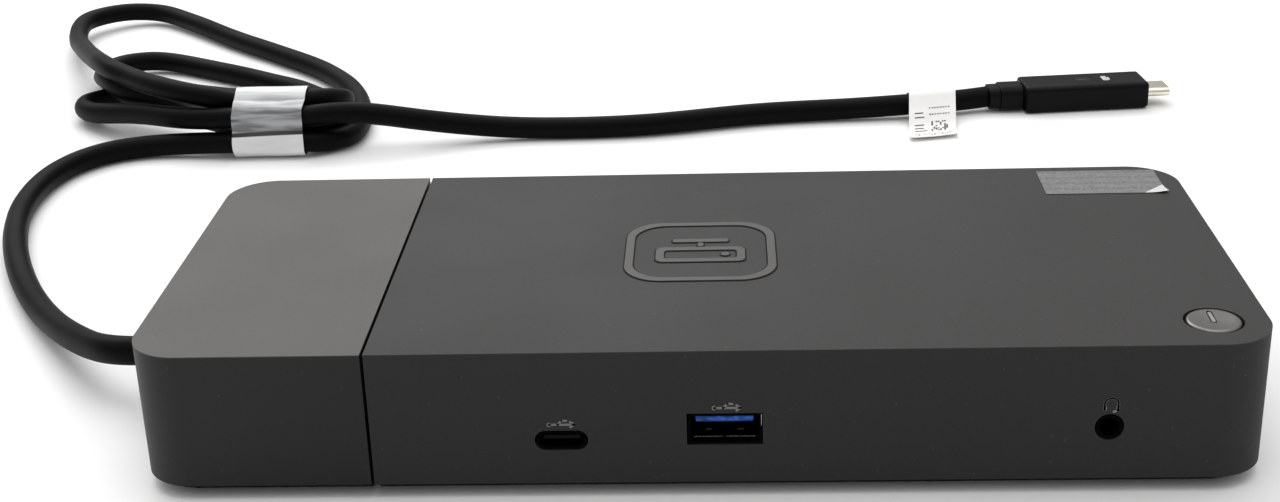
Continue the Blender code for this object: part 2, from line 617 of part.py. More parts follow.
def jack(name, place, facing):
    """An audio jack: a square body with a round nose, bored for a 3.5 mm plug."""
    x, z = place
    nose = sorted((facing * (DEPTH / 2 - 0.2), facing * (DEPTH / 2 - WALL - 1.5)))
    body = sorted((facing * (DEPTH / 2 - WALL - GAP), facing * (DEPTH / 2 - 14)))
    bore = sorted((facing * (DEPTH / 2 + 1), facing * (DEPTH / 2 - 13)))
    made = part(name, box((x - 3, x + 3), body, (z - 2.9, z + 3.3)), "port_plastic")
    join(made, cylinder((x, 0, z), JACK_HOLE_RADIUS - GAP, nose, "Y", 20))
    cut(made, cylinder((x, 0, z), JACK_BORE_RADIUS, bore, "Y", 20))


def hdmi_outline(width, height):
    """A flat rectangle with its lower corners cut back."""
    w, h, c = width / 2, height / 2, height * 0.36
    return [(w, h), (-w, h), (-w, c - h), (c - w, -h), (w - c, -h), (w, c - h)]


def displayport_outline(width, height):
    """A rectangle with one lower corner cut off."""
    w, h, c = width / 2, height / 2, height * 0.4
    return [(w, h), (-w, h), (-w, -h), (w - c, -h), (w, c - h)]


def front_ports():
    metal_shell("front_usb_c_shell", FRONT_USB_C, USB_C_DEPTH, pill)
    tongue("front_usb_c_tongue", FRONT_USB_C, (6.6, 0.7), USB_C_DEPTH, "port_plastic")
    metal_shell("front_usb_a_shell", FRONT_USB_A, USB_A_DEPTH)
    tongue("front_usb_a_tongue", FRONT_USB_A, USB_A_TONGUE, USB_A_DEPTH, "usb_blue", 1.2)
    jack("front_audio_jack", FRONT_JACK, -1)


def rear_ports():
    metal_shell("rear_usb_c_shell", REAR_USB_C, USB_C_DEPTH, pill)
    tongue("rear_usb_c_tongue", REAR_USB_C, (6.6, 0.7), USB_C_DEPTH, "port_plastic")
    metal_shell("rear_hdmi_shell", REAR_HDMI, HDMI_DEPTH, hdmi_outline)
    tongue("rear_hdmi_tongue", REAR_HDMI, (11.0, 1.2), HDMI_DEPTH, "port_plastic", -0.3)
    for index, port in enumerate(REAR_DISPLAYPORTS, 1):
        metal_shell(f"rear_displayport_shell_{index}", port, DISPLAYPORT_DEPTH, displayport_outline)
        tongue(f"rear_displayport_tongue_{index}", port, (12.5, 1.3), DISPLAYPORT_DEPTH, "port_plastic", 0.3)
    stack = metal_shell("rear_usb_a_shell", REAR_USB_A, USB_A_STACK_DEPTH)
    x, z, width, height = REAR_USB_A
    reach = width / 2 - 0.4
    divider = (DEPTH / 2 - USB_A_STACK_DEPTH - 0.2, DEPTH / 2 - 0.6)
    join(stack, box((x - reach, x + reach), divider, (z - 1.6, z + 1.6)))
    for name, lift in (("lower", -3.6), ("upper", 6.2)):
        tongue(f"rear_usb_a_tongue_{name}", REAR_USB_A, USB_A_TONGUE, USB_A_STACK_DEPTH, "usb_blue", lift)
    ethernet_jack()
    jack("rear_line_out_jack", REAR_LINE_OUT, 1)
    dc_jack()


def ethernet_jack():
    """A modular network jack: a block with a stepped cavity for the plug and its latch."""
    x, z, width, height = REAR_ETHERNET
    body_span = (DEPTH / 2 - 16.5, DEPTH / 2 - PORT_SET_BACK)
    body = wall_opening((x, z, width - 2 * GAP, height - 2 * GAP), body_span)
    made = part("rear_ethernet_jack", body, "port_plastic")
    mouth = (DEPTH / 2 - 13.5, DEPTH / 2 + 1)
    cut(made, wall_opening((x, z + 1.2, 11.9, 7.6), mouth), wall_opening((x, z - 3.6, 6.2, 3.2), mouth))


def dc_jack():
    """A round power inlet with its centre pin."""
    x, z = REAR_DC_JACK
    wall, half = DEPTH / 2, 5.2
    block = box((x - half, x + half), (wall - 14, wall - WALL - GAP), (z - half, z + half))
    made = part("rear_dc_jack", block, "port_plastic")
    join(made, cylinder((x, 0, z), DC_HOLE_RADIUS - GAP, (wall - 5, wall - PORT_SET_BACK), "Y", 24))
    cut(made, cylinder((x, 0, z), DC_BORE_RADIUS, (wall - 12.5, wall + 1), "Y", 24))
    part("rear_dc_pin", cylinder((x, 0, z), DC_PIN_RADIUS, (wall - 12.2, wall - 2.5), "Y", 12), "port_steel")


# Cord


def cord_route():
    """The points that the cord passes through, from its exit to the plug, in millimetres."""
    route = list(FROM_DOCK)
    route += [(x, *SLOT_IN) for x in TIE_HOLDS]
    for run, slot in TURNS:
        route += run
        route += [(x, *slot) for x in TIE_HOLDS]
    return route + list(TO_PLUG)


def smooth_curve(points, count):
    """Points on the natural cubic spline through the given ones, even in the square root of their spacing."""
    p = np.array(points, float)
    s = np.concatenate([[0], np.cumsum(np.linalg.norm(np.diff(p, axis=0), axis=1) ** 0.5)])
    h = np.diff(s)
    last = len(p) - 1
    matrix, right = np.eye(last + 1), np.zeros((last + 1, 3))
    for i in range(1, last):
        matrix[i, i - 1:i + 2] = h[i - 1], 2 * (h[i - 1] + h[i]), h[i]
        right[i] = 6 * ((p[i + 1] - p[i]) / h[i] - (p[i] - p[i - 1]) / h[i - 1])
    bend = np.linalg.solve(matrix, right)
    t = np.linspace(0, s[-1], count)
    i = np.clip(np.searchsorted(s, t, side="right") - 1, 0, last - 1)
    a = ((s[i + 1] - t) / h[i])[:, None]
    b = 1 - a
    step = (h[i] ** 2)[:, None] / 6
    return a * p[i] + b * p[i + 1] + ((a**3 - a) * bend[i] + (b**3 - b) * bend[i + 1]) * step


def spaced_by_bend(curve, count):
    """Points along a fine curve, closer together where it bends."""
    step = np.diff(curve, axis=0)
    length = np.linalg.norm(step, axis=1)
    way = step / length[:, None]
    turn = np.linalg.norm(np.diff(way, axis=0), axis=1)
    weight = length.copy()
    weight[1:] += 30.0 * turn
    along = np.concatenate([[0], np.cumsum(weight)])
    even = np.linspace(0, along[-1], count)
    return np.stack([np.interp(even, along, curve[:, k]) for k in range(3)], axis=1)


def with_square_ends(points):
    """The points, with one more near each end that turns the end face square to the gland and to the boot."""
    start = points[0] + (-1.5, 0, 0)
    end = points[-1] - (1.5 * math.cos(PLUG_YAW), 1.5 * math.sin(PLUG_YAW), 0)
    return np.concatenate([points[:1], [start], points[1:-1], [end], points[-1:]])


def cord():
    points = with_square_ends(spaced_by_bend(smooth_curve(cord_route(), 4000), CORD_POINTS - 2))
    curve = bpy.data.curves.new("usb_c_cord", "CURVE")
    curve.dimensions = "3D"
    curve.bevel_depth = CORD_DIAMETER / 2 * MM
    curve.bevel_resolution = 3
    curve.use_fill_caps = True
    spline = curve.splines.new("POLY")
    spline.points.add(len(points) - 1)
    for point, place in zip(spline.points, points):
        point.co = (*(place * MM), 1)
    part("usb_c_cord", mesh_from_curve(curve), "cord_jacket")


def cord_gland():
    """A strain relief in the left wall: an inner flange, a neck through the wall, and a tapered nose."""
    wall = LENGTH / 2
    profile = (
        (0, -EXIT[0] - GAP), (3.5, -EXIT[0] - GAP), (3.9, -EXIT[0] - GAP - 0.5), (4.9, wall + 1.6),
        (5.2, wall + 1.3), (5.2, wall + GAP), (3.6, wall + GAP), (3.6, wall - WALL - GAP),
        (5.3, wall - WALL - GAP), (5.3, wall - WALL - 1.8), (0, wall - WALL - 1.8),
    )
    place = Matrix.Translation((0, EXIT[1] * MM, EXIT[2] * MM)) @ Matrix.Rotation(-math.pi / 2, 4, "Y")
    turned("cord_gland", profile, "cord_jacket", place, 20)


def hull(circles, steps=14):
    """The outline of a band pulled tight round circles of (x, y, radius): their convex hull."""
    points = sorted(p for x, y, radius in circles for p in circle(x, y, radius, steps * 2))
    half = []
    for run in (points, points[::-1]):
        chain = []
        for p in run:
            while len(chain) > 1 and cross(chain[-2], chain[-1], p) <= 1e-9:
                chain.pop()
            chain.append(p)
        half += chain[:-1]
    return half


def cross(a, b, c):
    return (b[0] - a[0]) * (c[1] - a[1]) - (b[1] - a[1]) * (c[0] - a[0])


def cord_tie():
    """A band of film round the four strands of the hank."""
    radius = CORD_DIAMETER / 2 + TIE_SLACK
    slots = (SLOT_IN, SLOT_OUT, SLOT_TOP, SLOT_MID)
    inner = hull([(*slot, radius) for slot in slots])
    outer = hull([(*slot, radius + TIE_FILM) for slot in slots])
    part("cord_tie", plate([outer, inner], (TIE_STARTS, TIE_ENDS), ALONG_X), "tie_film")


def cord_label():
    """A paper label: a sleeve round the cord, and a flag that lies on the surface in front of it."""
    half = LABEL_WIDTH / 2
    radius = CORD_DIAMETER / 2 + LABEL_SLACK
    ring = [circle(0, 0, radius + 0.3, 20), circle(0, 0, radius, 20)]
    place = Matrix.Translation(Vector(LABEL_MIDDLE) * MM) @ Matrix.Rotation(LABEL_YAW, 4, "Z")
    label = part("cord_label", plate(ring, (-half, half), ALONG_X), "paper_label")
    label.matrix_world = place
    flag = box((-half, half), (-LABEL_REACH, 0.4), (-LABEL_MIDDLE[2] + 0.2, -radius - 0.05))
    lean = Matrix.Identity(4)
    lean[0][1] = LABEL_LEAN
    flag.transform(place @ lean)
    join(label, flag)


def plug():
    """The plug: a stepped boot, a flat moulded body and the metal shell of its connector."""
    place = Matrix.Translation((PLUG_START[0] * MM, PLUG_START[1] * MM, PLUG_Z * MM))
    place = place @ Matrix.Rotation(PLUG_YAW, 4, "Z") @ Matrix.Rotation(math.pi / 2, 4, "Z")
    place = place @ Matrix.Rotation(math.pi / 2, 4, "X")
    body_end = BOOT_LENGTH + BODY_LENGTH
    boot_end = BOOT_LENGTH - GAP
    boot = part("plug_boot", plate([pill(*BOOT_TAIL)], (0, boot_end), place), "cord_jacket")
    join(boot, plate([pill(*BOOT_COLLAR)], (BOOT_STEP, boot_end), place))
    body = plate([rounded_box(*BODY_SECTION, 1.4)], (BOOT_LENGTH, body_end), place)
    round_edges(part("plug_body", body, "cord_jacket"), 0.6)
    metal = plate([pill(*PLUG_METAL)], (body_end + GAP, body_end + PLUG_REACH), place)
    hollow = plate([pill(*PLUG_HOLLOW)], (body_end + 1.2, body_end + PLUG_REACH + 1), place)
    cut(part("plug_shell", metal, "port_steel"), hollow)


def rounded_box(width, height, radius):
    return rectangle((-width / 2, width / 2), (-height / 2, height / 2), radius, radius, 4)


clear_scene()
parts = new_collection("laptop_docking_station")
cutters = new_collection("cutters")
cutters.hide_render = True
main_top_cover()
module_top_cover()
bases_and_feet()
screws()
top_marks()
boards()
cooling()
blower()
power_button()
front_ports()
rear_ports()
cord_gland()
cord()
cord_tie()
cord_label()
plug()
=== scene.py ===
import math

import bmesh
import bpy
import numpy as np
from mathutils import Matrix, Vector


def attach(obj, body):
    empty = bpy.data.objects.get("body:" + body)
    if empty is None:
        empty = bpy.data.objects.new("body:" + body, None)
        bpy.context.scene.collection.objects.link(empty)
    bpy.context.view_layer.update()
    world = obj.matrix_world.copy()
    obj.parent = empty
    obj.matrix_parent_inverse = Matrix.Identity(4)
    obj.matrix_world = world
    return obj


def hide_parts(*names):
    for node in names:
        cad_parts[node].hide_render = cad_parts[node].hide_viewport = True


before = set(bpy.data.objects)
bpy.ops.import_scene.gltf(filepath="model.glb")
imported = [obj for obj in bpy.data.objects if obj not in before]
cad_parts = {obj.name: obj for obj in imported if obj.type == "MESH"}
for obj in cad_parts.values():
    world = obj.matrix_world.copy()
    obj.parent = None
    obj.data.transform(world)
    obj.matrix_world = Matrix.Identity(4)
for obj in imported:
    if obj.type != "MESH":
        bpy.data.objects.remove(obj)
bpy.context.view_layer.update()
scene = bpy.context.scene
MM = 0.001

# Sizes of the dock, in millimetres
LENGTH, DEPTH, HEIGHT = 205.0, 90.0, 29.0
CORNER_RADIUS, EDGE_ROUND, WALL, SHELL_BOTTOM = 10.0, 0.7, 2.0, 2.8
SEAM_X, SEAM_GAP, GAP = -59.0, 0.6, 0.3
BUTTON_CENTRE = (92.5, -35.0)
BUTTON_HOLE_RADIUS, BUTTON_RADIUS, BUTTON_FLANGE_RADIUS = 5.35, 4.95, 6.2
AUDIO_HOLE_RADIUS, DC_HOLE_RADIUS, CORD_HOLE_RADIUS = 2.6, 4.8, 4.0
POST_RADIUS, POST_BORE_RADIUS, POST_BOTTOM = 3.0, 1.45, 10.1
VENTS, VENT_PITCH, VENT_HEIGHTS = 9, 4.2, (9.5, 21.5)
BADGE_CENTRE = (0.85, 0.5)
FILM = 73.4, 98.5, 28.6, 42.3
FILM_BASE, FILM_CURL = HEIGHT + 0.05, 4.6
FRONT_USB_C = (-24.15, 11.55, 9.65, 3.96)
FRONT_USB_A = (5.2, 13.5, 13.6, 6.3)
FRONT_JACK = (73.2, 13.1)
REAR_USB_C = (27.0, 11.55, 9.65, 3.96)
REAR_HDMI = (9.0, 13.0, 15.6, 6.3)
REAR_DISPLAYPORTS = ((-13.0, 13.0, 17.5, 6.2), (-34.0, 13.0, 17.5, 6.2))
REAR_USB_A = (45.0, 17.7, 13.8, 16.2)
REAR_ETHERNET = (65.5, 16.8, 16.8, 14.2)
REAR_DC_JACK = (84.0, 15.4)
REAR_LINE_OUT = (-50.5, 13.1)
DOCKING_OPENING = (-15.8, 15.8), (9.9, 16.3)
MAIN_SCREWS = ((-50.0, -36.0), (43.0, -36.0), (-50.0, 19.0), (41.0, 21.0))
MODULE_SCREWS = tuple((x, y) for y in (-36.0, 36.0) for x in (-93.0, -80.0, -67.0))

# The cord's route
CORD_DIAMETER = 6.0
LIE = 3.2
EXIT = (-111.5, -5.0, 11.4)
TIE_STARTS, TIE_ENDS = -129.4, -109.4
TIE_HOLDS = (-130.8, -121.0, -111.8)
TIE_SLACK, LABEL_SLACK = 0.85, 0.35
SLOT_IN, SLOT_OUT, SLOT_TOP, SLOT_MID = (142.9, 4.4), (144.4, 10.9), (150.7, 13.8), (150.7, 7.4)
PLUG_START, PLUG_YAW, PLUG_Z = (82.0, 172.8), math.radians(5.4), 4.0
BOOT_LENGTH, BODY_LENGTH, PLUG_REACH = 9.5, 35.2, 6.65
FROM_DOCK = (
    EXIT, (-115.0, -4.7, 11.3), (-119.2, -2.8, 10.7), (-124.2, 1.8, 9.3), (-130.4, 9.4, 7.4),
    (-138.0, 19.6, 5.4), (-150.0, 38.0, 3.4), (-162.0, 61.0, LIE), (-170.5, 84.0, LIE), (-174.6, 106.0, LIE),
    (-172.5, 127.5, LIE), (-163.5, 140.2, LIE), (-149.0, 144.6, 3.5),
)
# Each turn of the hank: its way from the tie round to the tie again, and its slot there
TURNS = (
    (((-104.6, 145.1, 3.7), (-99.6, 150.7, LIE), (-97.7, 160.0, LIE), (-99.5, 173.7, LIE),
      (-103.3, 187.0, LIE), (-108.2, 198.0, LIE), (-115.6, 209.7, LIE), (-123.2, 219.0, LIE),
      (-132.9, 228.9, LIE), (-142.9, 238.5, 3.3), (-151.3, 246.7, 3.3), (-160.8, 256.5, 3.4),
      (-170.0, 266.4, 3.6), (-179.4, 275.9, 3.7), (-188.2, 282.9, 4.0), (-195.3, 283.9, 4.5),
      (-202.1, 280.6, 5.2), (-208.5, 273.1, 5.6), (-210.3, 263.5, 5.8), (-204.0, 239.7, 7.0),
      (-198.9, 227.8, 8.5), (-192.2, 213.0, 10.8), (-184.1, 195.4, 14.0), (-176.1, 179.2, 16.9),
      (-169.5, 169.8, 17.6), (-163.8, 165.2, 17.0), (-157.2, 159.1, 17.0), (-150.2, 154.1, 16.9),
      (-143.0, 150.6, 16.4), (-136.0, 149.2, 15.4)), SLOT_TOP),
    (((-106.4, 152.5, 13.5), (-102.8, 156.5, 12.1), (-101.9, 161.9, 10.2), (-105.4, 172.5, 6.6),
      (-111.8, 182.0, 3.9), (-121.0, 192.4, 3.5), (-129.9, 200.0, LIE), (-141.0, 208.1, LIE),
      (-150.8, 214.5, LIE), (-162.4, 221.9, LIE), (-173.0, 225.9, 3.6), (-178.6, 225.0, 3.9),
      (-183.2, 221.7, 4.2), (-186.1, 214.8, 4.6), (-185.2, 205.4, 5.4), (-180.6, 192.2, 8.8),
      (-176.8, 185.2, 9.7), (-169.3, 175.6, 9.3), (-159.8, 169.6, 9.3), (-148.2, 162.4, 8.1),
      (-139.3, 154.9, 7.2)), SLOT_MID),
    (((-106.9, 152.2, 6.6), (-104.3, 156.5, 5.4), (-104.9, 161.7, 3.8), (-109.3, 168.0, LIE),
      (-118.5, 175.4, 3.4), (-130.8, 181.8, 3.8), (-143.8, 186.8, 3.7), (-154.8, 190.9, 3.8),
      (-168.0, 193.4, 4.2), (-175.3, 191.5, 3.5), (-181.1, 186.8, 3.4), (-183.0, 181.7, 4.0),
      (-182.2, 176.2, 4.3), (-176.5, 168.8, 5.3), (-165.8, 161.3, 7.5), (-154.9, 153.7, 9.3),
      (-143.5, 146.8, 10.4)), SLOT_OUT),
)
TO_PLUG = (
    (-102.5, 145.6, 11.4), (-92.0, 147.6, 10.5), (-79.1, 150.0, 7.8), (-61.9, 153.1, 4.6),
    (-45.0, 154.3, LIE), (-15.0, 155.8, LIE), (14.0, 163.0, LIE), (40.0, 166.0, 3.3), (57.5, 167.3, 3.8),
    (65.2, 168.8, 3.8), (73.0, 170.4, 3.8), (81.7, 172.77, PLUG_Z),
)
LABEL_MIDDLE, LABEL_YAW, LABEL_WIDTH = (65.4, 168.95, 3.8), math.radians(12.0), 13.8
LABEL_LEAN = 0.3

# The heights, in metres, between which a cover's edge turns into the painted sheen of its top face
TOP_SHEEN_RISE = 0.02878, 0.02896
ROUGHNESS_SPREAD = 0.06


# Materials


class Nodes:
    """A short way to write a material's node tree."""

    def __init__(self, name):
        self.material = bpy.data.materials.new(name)
        self.material.use_nodes = True
        self.tree = self.material.node_tree
        self.shader = self.tree.nodes["Principled BSDF"]
        self.place = self.add("ShaderNodeTexCoord").outputs["Object"]

    def add(self, kind, inputs=(), **settings):
        node = self.tree.nodes.new(kind)
        for key, value in settings.items():
            setattr(node, key, value)
        for key, value in dict(inputs).items():
            if isinstance(value, bpy.types.NodeSocket):
                self.tree.links.new(value, node.inputs[key])
            else:
                node.inputs[key].default_value = value
        return node

    def link(self, out, key):
        self.tree.links.new(out, self.shader.inputs[key])

    def fixed(self, values):
        """Sets what is the same all over the surface, on the shader's own sockets."""
        for key, value in values.items():
            self.shader.inputs[key].default_value = value

    def axis(self, name):
        return self.add("ShaderNodeSeparateXYZ", {0: self.place}).outputs[name]

    def noise(self, size, detail=2.0, rough=0.5, place=None):
        """Noise whose features are about size millimetres across."""
        node = self.add(
            "ShaderNodeTexNoise",
            {"Vector": place or self.place, "Scale": 1.0 / (size * MM), "Detail": detail, "Roughness": rough},
        )
        return node.outputs["Fac"]

    def ranged(self, value, low, high, to_low, to_high):
        node = self.add(
            "ShaderNodeMapRange",
            {"Value": value, "From Min": low, "From Max": high, "To Min": to_low, "To Max": to_high},
        )
        return node.outputs["Result"]

    def mixed(self, share, a, b):
        node = self.add("ShaderNodeMix", data_type="RGBA")
        for index, value in ((0, share), (6, a), (7, b)):
            if isinstance(value, bpy.types.NodeSocket):
                self.tree.links.new(value, node.inputs[index])
            else:
                node.inputs[index].default_value = value
        return node.outputs[2]

    def maths(self, operation, a, b=0.0):
        return self.add("ShaderNodeMath", {0: a, 1: b}, operation=operation).outputs[0]

    def stretched(self, scale):
        return self.add("ShaderNodeMapping", {"Vector": self.place, "Scale": scale}).outputs["Vector"]

    def bump(self, height, depth, strength=1.0, normal=None):
        """Bump from a 0 to 1 height, depth millimetres deep."""
        inputs = {"Height": height, "Distance": depth * MM, "Strength": strength}
        if normal:
            inputs["Normal"] = normal
        return self.add("ShaderNodeBump", inputs).outputs["Normal"]


def shade(colour, factor):
    return (*(min(c * factor, 1.0) for c in colour[:3]), 1.0)


def plastic(
    name, colour, roughness=0.5, grain=0.35, depth=0.02, speckle=0.08, patch=25.0, uneven=0.06, dust=0.0,
    specular=0.5, coat=0.0, lid=0.0,
):
    """A moulded or satin surface: a fine grain in height and tone, slow changes of tone, and a little dust.

    lid is how much lighter its top face is: painted sheen, for the light that falls on the top."""
    n = Nodes(name)
    fine = n.noise(grain, 3.0, 0.6)
    slow = n.noise(patch, 2.0)
    changes, specks = n.ranged(slow, 0.3, 0.7, 0, 1), n.ranged(fine, 0.35, 0.65, 0, speckle * 2)
    toned = n.mixed(changes, shade(colour, 1 - uneven), shade(colour, 1 + uneven))
    toned = n.mixed(specks, toned, shade(colour, 1.6))
    # Painted sheen: the top face gets a lighter copy of the colour, for the light that falls on it.
    if lid:
        lifted = n.mixed(changes, shade(colour, lid * (1 - uneven)), shade(colour, lid))
        lifted = n.mixed(specks, lifted, shade(colour, lid * 1.5))
        toned = n.mixed(n.ranged(n.axis("Z"), *TOP_SHEEN_RISE, 0, 1), toned, lifted)
    if dust:
        spots = n.ranged(n.noise(1.1, 1.0), 0.72, 0.78, 0, dust)
        toned = n.mixed(spots, toned, (0.5, 0.48, 0.45, 1))
    n.link(toned, "Base Color")
    low, high = max(roughness - ROUGHNESS_SPREAD, 0.02), roughness + ROUGHNESS_SPREAD
    n.link(n.ranged(slow, 0.25, 0.75, low, high), "Roughness")
    n.fixed({"Specular IOR Level": specular})
    if coat:
        n.fixed({"Coat Weight": coat, "Coat Roughness": 0.12})
    n.link(n.bump(fine, depth), "Normal")
    return n.material


def brushed(name, colour, roughness, scale, metallic=1.0, depth=0.008):
    """Metal with fine lines. scale stretches the lines' noise along an axis."""
    n = Nodes(name)
    lines = n.noise(1.0, 3.0, 0.65, n.stretched(scale))
    n.link(n.mixed(n.ranged(lines, 0.3, 0.7, 0, 1), shade(colour, 0.86), shade(colour, 1.1)), "Base Color")
    slow = n.noise(6.0)
    n.link(n.ranged(slow, 0.3, 0.7, roughness - 0.05, roughness + 0.08), "Roughness")
    n.fixed({"Metallic": metallic})
    n.link(n.bump(lines, depth), "Normal")
    return n.material


def circuit_board():
    """Green solder mask with fine copper runs under it."""
    n = Nodes("board")
    cells = n.add("ShaderNodeTexVoronoi", {"Vector": n.place, "Scale": 420.0}, distance="MANHATTAN")
    runs = n.ranged(n.maths("FRACT", n.maths("MULTIPLY", cells.outputs["Distance"], 6.0)), 0.7, 0.8, 0, 0.6)
    n.link(n.mixed(runs, (0.006, 0.045, 0.022, 1), (0.012, 0.10, 0.045, 1)), "Base Color")
    n.link(n.ranged(n.noise(8.0), 0.3, 0.7, 0.3, 0.42), "Roughness")
    n.link(n.bump(runs, 0.03), "Normal")
    return n.material


def film_material():
    """Glossy film, its rows toned as painted light and shade, milky low down and greyer above, with a painted
    highlight along its top and a dark line of painted shade in the crease between.
    """
    n = Nodes("tie_film_look")
    axes = n.add("ShaderNodeSeparateXYZ", {0: n.place})
    wide = n.noise(3.0, 2.0, 0.5, n.stretched((0.22, 1.0, 1.6)))
    grey, pale, white = (0.10, 0.103, 0.108, 1), (0.33, 0.335, 0.34, 1), (0.62, 0.63, 0.64, 1)
    streaks = n.mixed(n.ranged(wide, 0.40, 0.60, 0, 1), grey, pale)
    # Painted highlight: the film's top edge is turned white.
    streaks = n.mixed(n.ranged(axes.outputs["Z"], 0.0145, 0.0168, 0, 1), streaks, white)
    low = n.mixed(n.ranged(wide, 0.3, 0.7, 0, 1), (0.60, 0.605, 0.60, 1), (0.74, 0.745, 0.74, 1))
    line = n.add("ShaderNodeMath", {0: axes.outputs["X"], 1: 0.03, 2: 0.0113}, operation="MULTIPLY_ADD")
    over = n.maths("SUBTRACT", axes.outputs["Z"], line.outputs[0])
    toned = n.mixed(n.ranged(over, -0.0002, 0.0002, 0, 1), low, streaks)
    # Painted shade: a near black line in the crease between the two rows.
    gap = n.ranged(n.maths("ABSOLUTE", over), 0.00042, 0.00060, 1, 0)
    n.link(n.mixed(gap, toned, (0.002, 0.002, 0.002, 1)), "Base Color")
    n.link(n.ranged(n.noise(2.0, 2.0), 0.3, 0.7, 0.10, 0.24), "Roughness")
    n.fixed({"Specular IOR Level": 0.6, "Coat Weight": 0.4, "Coat Roughness": 0.06})
    n.link(n.bump(wide, 0.30, 0.6), "Normal")
    return n.material


def foot_material():
    """Rubber with shallow ribs across it."""
    n = Nodes("foot_rubber")
    bands = {"Vector": n.place, "Scale": 220.0, "Distortion": 0.6}
    wave = n.add("ShaderNodeTexWave", bands, bands_direction="Y")
    fine = n.noise(0.3)
    n.link(n.mixed(fine, (0.010, 0.010, 0.011, 1), (0.026, 0.026, 0.027, 1)), "Base Color")
    n.link(n.ranged(fine, 0.3, 0.7, 0.75, 0.92), "Roughness")
    n.link(n.bump(wave.outputs["Fac"], 0.12, 1.0, n.bump(fine, 0.02)), "Normal")
    return n.material


def film_label_material():
    """Grey film that carries rows of faint fine texture."""
    n = Nodes("film_label_look")
    bands = {"Vector": n.place, "Scale": 95.0, "Distortion": 0.0}
    rows = n.add("ShaderNodeTexWave", bands, bands_direction="Y").outputs["Fac"]
    broken = n.noise(0.55, 2.0, 0.6, n.stretched((1.0, 0.35, 1.0)))
    marks = n.maths("MULTIPLY", n.ranged(rows, 0.55, 0.8, 0, 1), n.ranged(broken, 0.42, 0.6, 0, 1))
    specks = n.ranged(n.noise(0.8, 3.0, 0.7), 0.35, 0.65, 0, 1)
    mottled = n.mixed(specks, (0.135, 0.138, 0.134, 1), (0.20, 0.203, 0.198, 1))
    n.link(n.mixed(n.maths("MULTIPLY", marks, 0.7), mottled, (0.085, 0.087, 0.084, 1)), "Base Color")
    n.link(n.ranged(n.noise(5.0), 0.3, 0.7, 0.34, 0.5), "Roughness")
    n.link(n.bump(n.noise(2.2, 2.0), 0.05, 1.0, n.bump(marks, 0.02)), "Normal")
    return n.material


def blade_material():
    """Blue plastic, painted dark for the shade inside the port, with a painted highlight in uneven patches
    along the middle of its front face.
    """
    n = Nodes("usb_blade_look")
    off_middle = n.maths("ABSOLUTE", n.maths("SUBTRACT", n.axis("Z"), 0.01492))
    # Painted highlight: a band along the middle of the front face, lit in patches; the dark blue around it is
    # painted shade.
    band = n.ranged(off_middle, 0.00026, 0.00060, 1, 0)
    patches = n.ranged(n.noise(1.1, 2.0, 0.5, n.stretched((0.8, 1.0, 1.6))), 0.36, 0.62, 0.25, 1)
    lit = n.maths("MULTIPLY", band, patches)
    n.link(n.mixed(lit, (0.004, 0.018, 0.10, 1), (0.045, 0.17, 0.72, 1)), "Base Color")
    n.link(n.ranged(n.noise(0.5), 0.3, 0.7, 0.35, 0.5), "Roughness")
    n.fixed({"Specular IOR Level": 0.12})
    n.link(n.bump(n.noise(0.4), 0.01), "Normal")
    return n.material


